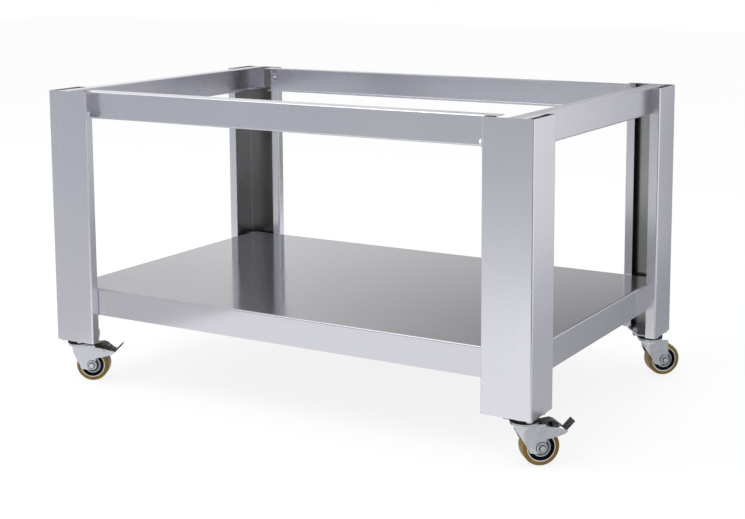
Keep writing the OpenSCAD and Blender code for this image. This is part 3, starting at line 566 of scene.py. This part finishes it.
def thread(bm, place, radius, length, pitch, depth, sides=24, rows_per_turn=6):
    """A screw thread that winds up the local Z axis from 0 to length. Both ends are its core."""
    rows = max(4, int(length / pitch * rows_per_turn))
    core = [radius - depth / 2] * sides
    levels = [(0.0, core)]
    for row in range(rows + 1):
        height = length * row / rows
        phases = ((height / pitch - i / sides) % 1.0 for i in range(sides))
        levels.append((height, [radius + depth * (abs(2 * p - 1) - 0.5) for p in phases]))
    levels.append((length, core))
    skin_rings(bm, [
        [bm.verts.new(place @ ring_point(r, i, sides, height)) for i, r in enumerate(radii)]
        for height, radii in levels])


def coil(bm, place, radius, wire, turns, length, sides=8, steps=20):
    """A round wire wound about the local Z axis, from -length/2 to length/2."""
    rings = []
    total = turns * steps
    for n in range(total + 1):
        out = ring_point(1.0, n, steps, 0.0)
        middle = length * (n / total - 0.5)
        section = (ring_point(wire / 2, i, sides, 0.0) for i in range(sides))
        rings.append([bm.verts.new(place @ (out * (radius + p.x) + UP * (middle + p.y)))
                      for p in section])
    skin_rings(bm, rings)
    bm.faces.new(rings[-1])


class OVENTABLE_OT_frame_steel(bpy.types.Operator):
    """Gives the legs, rails, foot plates and brackets their brushed steel"""

    bl_idname = "oventable.frame_steel"
    bl_label = "Frame steel"

    def execute(self, context):
        s = context.scene.oventable_steel
        colour, roughness = s.frame_colour, s.frame_roughness
        # The legs' inner faces get painted shade.
        upright = brushed("brushed_steel_upright", colour, roughness, Z, inside=s.leg_inside_shade)
        wide = brushed("brushed_steel_across", colour, roughness, X)
        deep = brushed("brushed_steel_along", colour, roughness, Y)
        plate = brushed("plate_steel", s.plate_colour, s.plate_roughness, X)
        for names, material in ((LEGS, upright), (LONG_RAILS, wide), (SIDE_RAILS, deep),
                                (FEET + ("rail_brackets",), plate)):
            for name in names:
                dress(name, material, s.edge_round)
        return {"FINISHED"}


class OVENTABLE_OT_shelf(bpy.types.Operator):
    """Gives the tray shelf and its stiffeners their finer brushed steel"""

    bl_idname = "oventable.shelf"
    bl_label = "Shelf"

    def execute(self, context):
        s = context.scene.oventable_steel
        # The shelf's upper face gets painted shade.
        sheet = brushed("brushed_shelf", s.shelf_colour, s.shelf_roughness, X, haze=0.015,
                        depth=0.012, metallic=0.86, top=s.shelf_top_shade)
        dress("shelf", sheet, s.edge_round)
        hat = brushed("stiffener_steel", s.plate_colour, s.stiffener_roughness, Y)
        dress("shelf_stiffeners", hat)
        return {"FINISHED"}


class OVENTABLE_OT_fixings(bpy.types.Operator):
    """Gives the bolts and nuts their finishes"""

    bl_idname = "oventable.fixings"
    bl_label = "Fixings"

    def execute(self, context):
        s = context.scene.oventable_steel
        c = context.scene.oventable_casters
        bright = polished("turned_stainless", s.frame_colour)
        plated = zinc("zinc_fixings", c.zinc_colour)
        for name in ("frame_bolts", "frame_nuts"):
            dress(name, bright, s.edge_round)
        for name in ("caster_bolts", "caster_nuts", "kingpins"):
            dress(name, plated, s.edge_round)
        return {"FINISHED"}


class OVENTABLE_OT_threads(bpy.types.Operator):
    """Cuts the threads on the ends of the bolts that show past their nuts"""

    bl_idname = "oventable.threads"
    bl_label = "Bolt threads"

    def execute(self, context):
        s = context.scene.oventable_steel
        c = context.scene.oventable_casters
        f = context.scene.oventable_fixings
        finishes = (
            ("frame_bolts", "stainless_fixing", polished("rolled_thread", s.frame_colour)),
            ("caster_bolts", "zinc_plated", zinc("zinc_thread", c.zinc_colour)))
        length = 2.2 * MM
        rim, dish = length + 0.25 * MM, length + 0.05 * MM
        for name, slot_name, material in finishes:
            bm = bmesh.new()
            for points in islands(name):
                tip, outward, radius = bolt_tip(points)
                place = along(tip - outward * length, outward)
                thread(bm, place, radius + f.thread_depth / 2, length, f.thread_pitch,
                       f.thread_depth)
                lathe(bm, ((radius, length), (radius * 0.86, rim), (radius * 0.55, rim),
                           (radius * 0.45, dish), (0, dish)), 24, place)
            name += "_threads"
            new_piece(name, finish_mesh(bm, name), material, "frame")
        return {"FINISHED"}


class OVENTABLE_OT_spot_welds(bpy.types.Operator):
    """Sinks a row of spot welds into each flange of the shelf's stiffeners"""

    bl_idname = "oventable.spot_welds"
    bl_label = "Spot welds"

    def execute(self, context):
        s = context.scene.oventable_steel
        f = context.scene.oventable_fixings
        material = polished("spot_weld_steel", s.plate_colour)
        inset, ends, flange_skin = 7 * MM, 60 * MM, 0.5 * MM
        dimple = in_mm((0, -0.2), (3.4, -0.2), (3.2, 0.14), (2.6, 0.14), (2.2, 0.04), (0, 0.02))
        bm = bmesh.new()
        for points in islands("shelf_stiffeners"):
            low, high = extents(points)
            count = int((high[Y] - low[Y] - ends) / f.dimple_pitch)
            for edge, side in ((low[X], 1), (high[X], -1)):
                x = edge + side * inset
                z = min(p.z for p in points if abs(p.x - edge) < flange_skin)
                for n in range(count + 1):
                    y = (low[Y] + high[Y]) / 2 + (n - count / 2) * f.dimple_pitch
                    lathe(bm, dimple, 20, along((x, y, z), -UP))
        new_piece("shelf_spot_welds", finish_mesh(bm, "shelf_spot_welds"), material, "frame")
        return {"FINISHED"}


class OVENTABLE_OT_casters(bpy.types.Operator):
    """Gives the forks, plates, races and axles their zinc plating"""

    bl_idname = "oventable.casters"
    bl_label = "Caster metal"

    def execute(self, context):
        s = context.scene.oventable_steel
        c = context.scene.oventable_casters
        plated = zinc("zinc_pressings", c.zinc_colour)
        ball = polished("bearing_steel", (0.75, 0.75, 0.77))
        seal = moulded("seal_rubber", (0.008, 0.008, 0.009), 0.45)
        for k in CORNERS:
            for base in ("caster_plate_", "fork_", "axle_"):
                dress(base + k, plated, s.edge_round)
            for base in ("race_balls_", "bearings_"):
                dress(base + k, ball)
            dress("dust_seal_" + k, seal, s.edge_round)
        return {"FINISHED"}


class OVENTABLE_OT_wheels(bpy.types.Operator):
    """Gives the tyres and hubs their finishes"""

    bl_idname = "oventable.wheels"
    bl_label = "Wheels"

    def execute(self, context):
        c = context.scene.oventable_casters
        amber = cast_tyre("amber_tyre", c.tyre_colour)
        dark = moulded("hub_plastic", c.hub_colour, 0.42, 600.0)
        for k in CORNERS:
            dress("tyre_" + k, amber)
            dress("hub_" + k, dark, 0.4 * MM)
        return {"FINISHED"}


class OVENTABLE_OT_wheel_rings(bpy.types.Operator):
    """Turns the bright rings and the grey bearing shields on both faces of each wheel centre"""

    bl_idname = "oventable.wheel_rings"
    bl_label = "Wheel rings"

    def execute(self, context):
        c = context.scene.oventable_casters
        bright = zinc("turned_ring", c.zinc_colour)
        grey = zinc("bearing_shield", (0.17, 0.18, 0.205))
        sets = (("wheel_rings_", bright, ((28.7, 30.9), (18.5, 19.8))),
                ("bearing_shields_", grey, ((14.4, 18.5),)))
        for k in CORNERS:
            centre, axis = wheel_axis(k)
            reach = [(p - centre).dot(axis) for points in islands("hub_" + k) for p in points]
            sides = ((axis, max(reach)), (-axis, -min(reach)))
            for name, material, rings in sets:
                bm = bmesh.new()
                for direction, face in sides:
                    place = along(centre, direction)
                    for inner, outer in rings:
                        lathe(bm, self.section(inner, outer, face), 72, place)
                new_piece(name + k, finish_mesh(bm, name + k), material, "wheel_" + k)
        return {"FINISHED"}

    @staticmethod
    def section(inner, outer, face):
        """A flat ring's section, let into the hub's face. Its radii are in millimetres."""
        foot, shoulder, crown = face - 0.5 * MM, face + 0.12 * MM, face + 0.3 * MM
        slope = 0.3
        return ((inner * MM, foot), (inner * MM, shoulder), ((inner + slope) * MM, crown),
                ((outer - slope) * MM, crown), (outer * MM, shoulder), (outer * MM, foot),
                (inner * MM, foot))


class OVENTABLE_OT_axle_shade_rings(bpy.types.Operator):
    """Lays painted shade: a dark ring round each axle's flanges for the shade where they meet the
    fork, and a dark ring on its nut's face for the shade in its recess
    """

    bl_idname = "oventable.axle_washers"
    bl_label = "Axle washers"

    def execute(self, context):
        # Painted shade: a near-black coating on rings that stand in for the shade round the axle's
        # flanges and in its nut.
        material = coated("dark_washer", (0.020, 0.020, 0.021))
        level_skin, flange_skin, nut_wall = 0.05 * MM, 0.05 * MM, 3 * MM
        for k in CORNERS:
            centre, axis = wheel_axis(k)
            corners = [p - centre for points in islands("axle_" + k) for p in points]
            radii = [(p - p.dot(axis) * axis).length for p in corners]
            widest = max(radii)
            bm = bmesh.new()
            for direction in (axis, -axis):
                place = along(centre, direction)
                spots = [(p.dot(direction), radius) for p, radius in zip(corners, radii)]
                face = min(level for level, radius in spots
                           if level > 0 and radius > widest - flange_skin)
                lathe(bm, self.section(widest + 0.1 * MM, widest + 1.3 * MM, face, 0.55 * MM,
                                       0.2 * MM), 64, place)
                tip = max(level for level, radius in spots)
                bolt = max(radius for level, radius in spots if level > tip - level_skin)
                if bolt < widest - nut_wall:
                    nut = max(level for level, radius in spots if radius > widest - nut_wall)
                    lathe(bm, self.section(bolt + 0.05 * MM, bolt + 2.1 * MM, nut, 0.5 * MM,
                                           0.4 * MM), 48, place)
            new_piece("axle_washers_" + k, finish_mesh(bm, "axle_washers_" + k), material,
                      "caster_" + k)
        return {"FINISHED"}

    @staticmethod
    def section(inner, outer, face, thick, slope):
        """A dark ring's section, just clear of the face it lies on, with its outer edge broken."""
        foot, crown, shoulder = face + 0.02 * MM, face + thick, face + thick - 0.2 * MM
        return ((inner, foot), (inner, crown), (outer - slope, crown), (outer, shoulder),
                (outer, foot), (inner, foot))


class OVENTABLE_OT_seal_skirts(bpy.types.Operator):
    """Turns the soft skirt of each dust seal, which hangs round the swivel's races"""

    bl_idname = "oventable.seal_skirts"
    bl_label = "Seal skirts"

    def execute(self, context):
        material = moulded("skirt_rubber", (0.006, 0.006, 0.007), 0.5)
        for k in CORNERS:
            low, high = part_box("dust_seal_" + k)
            radius = (high.x - low.x) / 2
            middle = (low + high) / 2
            place = along((middle.x, middle.y, low.z), UP)
            root, inner, outer = radius - 0.4 * MM, radius + 1.1 * MM, radius + 2.1 * MM
            edge, belly = outer - 0.5 * MM, outer + 0.2 * MM
            bm = bmesh.new()
            lathe(bm, ((root, 0.3 * MM), (edge, 0.3 * MM), (outer, 0.8 * MM), (belly, 3.5 * MM),
                       (outer, 6.6 * MM), (edge, 7.0 * MM), (inner, 6.8 * MM), (inner, 1.6 * MM),
                       (root, 1.4 * MM), (root, 0.3 * MM)), 64, place)
            new_piece("seal_skirt_" + k, finish_mesh(bm, "seal_skirt_" + k, 50.0), material,
                      "caster_" + k)
        return {"FINISHED"}


class OVENTABLE_OT_pedal_rivets(bpy.types.Operator):
    """Sets the rivets that hold each brake shoe to its pedal"""

    bl_idname = "oventable.pedal_rivets"
    bl_label = "Pedal rivets"

    def execute(self, context):
        c = context.scene.oventable_casters
        material = zinc("zinc_rivet", c.zinc_colour)
        # The pedal's sloping plate: its sine and cosine, then in millimetres where it starts ahead
        # of and above the pin, just under half its thickness, and the rivets along and across it
        fall, run = 0.6287, 0.7776
        end_ahead, end_above, plate_skin = 2.5, 14.0, 1.2
        spots = ((8.0, -5.5), (8.0, 5.5), (19.0, 0.0))
        head = in_mm((0, -0.2), (2.6, -0.2), (2.6, 0.4), (2.2, 1.0), (1.3, 1.4), (0, 1.5))
        for k in BRAKED:
            centre, across = brake_pin(k)
            ahead = across.cross(UP)
            lean = ahead * fall + UP * run
            bm = bmesh.new()
            for step, side in spots:
                spot = centre + across * side * MM + ahead * (end_ahead + run * step) * MM
                spot += UP * (end_above - fall * step) * MM
                lathe(bm, head, 28, along(spot + lean * plate_skin * MM, lean))
            new_piece("pedal_rivets_" + k, finish_mesh(bm, "pedal_rivets_" + k, 50.0), material,
                      "pedal_" + k)
        return {"FINISHED"}


class OVENTABLE_OT_brake_springs(bpy.types.Operator):
    """Winds the spring that lies round each brake pedal's pin"""

    bl_idname = "oventable.brake_springs"
    bl_label = "Brake springs"

    def execute(self, context):
        f = context.scene.oventable_fixings
        material = polished("spring_wire", (0.30, 0.30, 0.32))
        radius, length = 3.5 * MM, 17 * MM
        for k in BRAKED:
            bm = bmesh.new()
            coil(bm, along(*brake_pin(k)), radius, f.spring_wire, f.spring_turns, length)
            new_piece("brake_spring_" + k, finish_mesh(bm, "brake_spring_" + k, 60.0), material,
                      "caster_" + k)
        return {"FINISHED"}


class OVENTABLE_OT_brakes(bpy.types.Operator):
    """Gives the brake pedals, shoes and pins their finishes"""

    bl_idname = "oventable.brakes"
    bl_label = "Brakes"

    def execute(self, context):
        c = context.scene.oventable_casters
        black = coated("pedal_coating", c.pedal_colour)
        rubber = moulded("shoe_rubber", (0.02, 0.02, 0.022), 0.6, 500.0)
        plated = zinc("zinc_brake", c.zinc_colour)
        for k in BRAKED:
            dress("brake_pedal_" + k, black, 0.25 * MM)
            dress("brake_shoe_" + k, rubber)
            dress("brake_fasteners_" + k, plated, 0.2 * MM)
        return {"FINISHED"}


# Places of the cards round the table and of the mats on the floor, in metres
FRONT, SIDE_BACK, BACK = -2.0, 1.7, 1.9
MAT_LEVEL = 0.004


def standing(left, right, y, bottom, top):
    """The corners of an upright card."""
    return (left, y, bottom), (right, y, bottom), (right, y, top), (left, y, top)


def lying(*corners):
    """The corners of a mat."""
    return tuple((x, y, MAT_LEVEL) for x, y in corners)


# Name, corners and the tone at each corner, which is a grey, or a colour where it is tinted
CARDS = (
    ("front_card", standing(-3.6, 0.35, FRONT, 0.02, 2.0),
     ((0.58, 0.64, 0.68), (0.57, 0.58, 0.59), (0.35, 0.365, 0.39), (0.35, 0.355, 0.37))),
    ("front_left_mat", lying((-3.6, FRONT), (-0.5, FRONT), (-0.8, -0.55), (-3.6, -0.55)),
     (0.62, 0.62, 0.66, 0.66)),
    ("front_right_card", standing(0.7, 2.4, FRONT, 0.02, 1.2),
     (0.16, 0.10, 0.10, 0.16)),
    ("front_right_mat", lying((0.7, FRONT), (2.4, FRONT), (2.4, -0.9), (0.8, -0.9)),
     (0.16, 0.10, 0.10, 0.16)),
    ("right_mat", lying((0.70, -0.6), (1.7, -0.6), (1.7, SIDE_BACK), (0.70, SIDE_BACK)),
     (0.60, 0.72, (0.80, 0.82, 0.86), (0.08, 0.10, 0.13))),
    ("right_card", standing(0.6, 1.8, SIDE_BACK, MAT_LEVEL, 1.6),
     ((0.0, 0.02, 0.06), (1.06, 1.05, 1.05), (1.18, 1.16, 1.18), (0.0, 0.04, 0.12))),
    ("rear_card", standing(-1.7, -0.1, BACK, 0.35, 1.2), (1.05, 0.85, 0.0, 0.70)),
    ("rear_left_card", standing(-3.6, -1.7, BACK, 0.35, 1.2), (0.90, 1.05, 0.70, 0.80)),
    ("rear_side_card", standing(-0.1, 0.6, BACK, 0.35, 1.2), (0.85, 0.36, 0.0, 0.0)),
    # Painted shadow: a dark mat under the table that stands in, in the steel's reflections, for the
    # shelf's shadow on the floor.
    ("under_mat", lying((-0.50, -0.40), (0.45, -0.40), (0.45, 0.40), (-0.50, 0.40)),
     (0.22, 0.30, 0.30, 0.22)),
    ("rear_low_card", standing(0.1, 0.6, BACK, MAT_LEVEL, 0.34), (0.03, 0.03, 0.03, 0.03)),
)

# Name, place, size and the setting that holds the power of each soft lamp, and where they aim
LAMPS = (("key_lamp", (-1.2, -2.6, 4.2), 3.2, "key_power"),
         ("fill_lamp", (-4.2, -0.8, 2.2), 2.6, "fill_power"))
LAMP_AIM = (0, 0, 0.3)

FLOOR_GREY, FLOOR_GLOW = 0.26, 0.82
SURROUND_COLOUR, SURROUND_STRENGTH = (0.94, 0.96, 1.0), 0.62

# The photograph's frame and the fitted lens in pixels, then the camera's yaw, pitch and roll in
# degrees and its place in metres
PHOTO_WIDTH, PHOTO_HEIGHT = 745.0, 519.0
FOCAL_LENGTH, OPTICAL_MIDDLE = 1435.0, 150.0
CAMERA_TURN = (30.936, 7.941, -0.32)
CAMERA_PLACE = (1.8094, -2.9812, 1.0581)
SENSOR_WIDTH = 36.0


def stage_mesh(scene, name, bm, material_name):
    """Makes a mesh a part of the stage. Returns it and the empty nodes of its material."""
    mesh = bpy.data.meshes.new(name)
    bm.to_mesh(mesh)
    bm.free()
    obj = bpy.data.objects.new(name, mesh)
    scene.collection.objects.link(obj)
    material = bpy.data.materials.new(material_name)
    material.use_nodes = True
    material.node_tree.nodes.clear()
    mesh.materials.append(material)
    return obj, material.node_tree


class OVENTABLE_OT_stage(bpy.types.Operator):
    """Builds the pale floor, the soft lamps, the white surround and the camera"""

    bl_idname = "oventable.stage"
    bl_label = "Stage"

    def execute(self, context):
        s = context.scene.oventable_stage
        scene = context.scene
        self.camera(scene)
        self.floor(scene, s.floor_size)
        self.surround(scene)
        for name, place, size, power in LAMPS:
            self.lamp(scene, name, place, size, getattr(s, power))
        for name, corners, tones in CARDS:
            self.card(scene, name, corners, tones)
        scene.view_settings.view_transform = "Standard"
        return {"FINISHED"}

    @staticmethod
    def card(scene, name, corners, tones, steps=12):
        """A card that only the steel's reflections see, shaded from corner to corner."""
        bm = bmesh.new()
        tone = bm.verts.layers.float_color.new("tone")
        tones = [Vector(t if isinstance(t, tuple) else (t, t, t)) for t in tones]
        grid = []
        for i in range(steps + 1):
            u = i / steps
            row = []
            for j in range(steps + 1):
                v = j / steps
                parts = ((1 - u) * (1 - v), u * (1 - v), u * v, (1 - u) * v)
                place = sum((w * Vector(c) for w, c in zip(parts, corners)), Vector())
                vert = bm.verts.new(place)
                vert[tone] = (*sum((w * t for w, t in zip(parts, tones)), Vector()), 1.0)
                row.append(vert)
            grid.append(row)
        for a, b in zip(grid, grid[1:]):
            for j in range(steps):
                bm.faces.new((a[j], b[j], b[j + 1], a[j + 1]))
        obj, tree = stage_mesh(scene, name, bm, name)
        for ray in ("camera", "diffuse", "transmission", "volume_scatter", "shadow"):
            setattr(obj, "visible_" + ray, False)
        read = tree.nodes.new("ShaderNodeAttribute")
        read.attribute_name = "tone"
        glow = tree.nodes.new("ShaderNodeEmission")
        out = tree.nodes.new("ShaderNodeOutputMaterial")
        tree.links.new(read.outputs["Color"], glow.inputs["Color"])
        tree.links.new(glow.outputs[0], out.inputs["Surface"])

    @staticmethod
    def camera(scene):
        """The camera at the photograph's viewing angle."""
        yaw, pitch, roll = (math.radians(a) for a in CAMERA_TURN)
        right = Vector((math.cos(yaw), math.sin(yaw), 0))
        ahead = Vector((-math.sin(yaw) * math.cos(pitch), math.cos(yaw) * math.cos(pitch),
                        -math.sin(pitch)))
        up = right.cross(ahead)
        across = math.cos(roll) * right + math.sin(roll) * up
        upward = -math.sin(roll) * right + math.cos(roll) * up
        data = bpy.data.cameras.new("camera")
        data.sensor_width = SENSOR_WIDTH
        data.lens = FOCAL_LENGTH * SENSOR_WIDTH / PHOTO_WIDTH
        data.shift_y = -(PHOTO_HEIGHT / 2 - OPTICAL_MIDDLE) / PHOTO_WIDTH
        data.clip_end = 100.0
        camera = bpy.data.objects.new("camera", data)
        scene.collection.objects.link(camera)
        turn = Matrix((across, upward, -ahead)).transposed().to_4x4()
        camera.matrix_world = Matrix.Translation(CAMERA_PLACE) @ turn
        scene.camera = camera

    @staticmethod
    def floor(scene, size):
        """A matt floor that looks nearly white to the camera and keeps the shadows."""
        bm = bmesh.new()
        bmesh.ops.create_grid(bm, x_segments=8, y_segments=8, size=size / 2)
        tree = stage_mesh(scene, "floor", bm, "pale_floor")[1]
        out = tree.nodes.new("ShaderNodeOutputMaterial")
        matt = tree.nodes.new("ShaderNodeBsdfDiffuse")
        matt.inputs["Color"].default_value = (FLOOR_GREY, FLOOR_GREY, FLOOR_GREY, 1)
        glow = tree.nodes.new("ShaderNodeEmission")
        add = tree.nodes.new("ShaderNodeAddShader")
        tree.links.new(seen_rays(tree, FLOOR_GLOW), glow.inputs["Strength"])
        tree.links.new(matt.outputs[0], add.inputs[0])
        tree.links.new(glow.outputs[0], add.inputs[1])
        tree.links.new(add.outputs[0], out.inputs["Surface"])

    @staticmethod
    def surround(scene):
        """A world that looks white and lights the table more softly."""
        world = bpy.data.worlds.new("surround")
        world.use_nodes = True
        tree = world.node_tree
        tree.nodes.clear()
        out = tree.nodes.new("ShaderNodeOutputWorld")
        mix = tree.nodes.new("ShaderNodeMixShader")
        tree.links.new(seen_rays(tree, 1.0), mix.inputs["Fac"])
        for index, colour, strength in ((1, SURROUND_COLOUR, SURROUND_STRENGTH), (2, WHITE, 1.0)):
            light = tree.nodes.new("ShaderNodeBackground")
            light.inputs["Color"].default_value = (*colour, 1)
            light.inputs["Strength"].default_value = strength
            tree.links.new(light.outputs[0], mix.inputs[index])
        tree.links.new(mix.outputs[0], out.inputs["Surface"])
        scene.world = world

    @staticmethod
    def lamp(scene, name, place, size, power):
        """A large square lamp that aims at the table."""
        data = bpy.data.lights.new(name, "AREA")
        data.shape = "SQUARE"
        data.size = size
        data.energy = power
        lamp = bpy.data.objects.new(name, data)
        scene.collection.objects.link(lamp)
        lamp.location = place
        lamp.rotation_mode = "QUATERNION"
        lamp.rotation_quaternion = (Vector(LAMP_AIM) - Vector(place)).to_track_quat("-Z", "Y")


def seen_rays(tree, strength):
    """strength where the camera, a mirror or clear glass looks, and nothing elsewhere."""
    path = tree.nodes.new("ShaderNodeLightPath").outputs

    def maths(operation, a, b):
        node = tree.nodes.new("ShaderNodeMath")
        node.operation = operation
        tree.links.new(a, node.inputs[0])
        if isinstance(b, float):
            node.inputs[1].default_value = b
        else:
            tree.links.new(b, node.inputs[1])
        return node.outputs[0]

    seen = maths("MAXIMUM", path["Is Camera Ray"], path["Is Glossy Ray"])
    seen = maths("MAXIMUM", seen, path["Is Transmission Ray"])
    return maths("MULTIPLY", seen, strength)


class OVENTABLE_PT_panel(bpy.types.Panel):
    """Lists the operators and their settings"""

    bl_label = "Oven table"
    bl_idname = "OVENTABLE_PT_panel"
    bl_space_type = "VIEW_3D"
    bl_region_type = "UI"
    bl_category = "Oven table"

    def draw(self, context):
        for operator in OPERATORS:
            self.layout.operator(operator.bl_idname)
        for name in GROUPS:
            group = getattr(context.scene, name)
            box = self.layout.box()
            for key in group.__annotations__:
                box.prop(group, key)


OPERATORS = (
    OVENTABLE_OT_frame_steel,
    OVENTABLE_OT_shelf,
    OVENTABLE_OT_fixings,
    OVENTABLE_OT_threads,
    OVENTABLE_OT_spot_welds,
    OVENTABLE_OT_casters,
    OVENTABLE_OT_wheels,
    OVENTABLE_OT_wheel_rings,
    OVENTABLE_OT_axle_shade_rings,
    OVENTABLE_OT_seal_skirts,
    OVENTABLE_OT_pedal_rivets,
    OVENTABLE_OT_brake_springs,
    OVENTABLE_OT_brakes,
    OVENTABLE_OT_stage,
)
GROUPS = {
    "oventable_steel": SteelSettings,
    "oventable_casters": CasterSettings,
    "oventable_fixings": FixingSettings,
    "oventable_stage": StageSettings,
}


def register():
    for cls in (*GROUPS.values(), *OPERATORS, OVENTABLE_PT_panel):
        bpy.utils.register_class(cls)
    for name, cls in GROUPS.items():
        setattr(bpy.types.Scene, name, PointerProperty(type=cls))


def unregister():
    for name in GROUPS:
        delattr(bpy.types.Scene, name)
    for cls in (OVENTABLE_PT_panel, *reversed(OPERATORS), *reversed(tuple(GROUPS.values()))):
        bpy.utils.unregister_class(cls)


def main():
    register()
    for operator in OPERATORS:
        group, name = operator.bl_idname.split(".")
        getattr(getattr(bpy.ops, group), name)()
    bpy.context.view_layer.update()


if __name__ == "__main__":
    main()
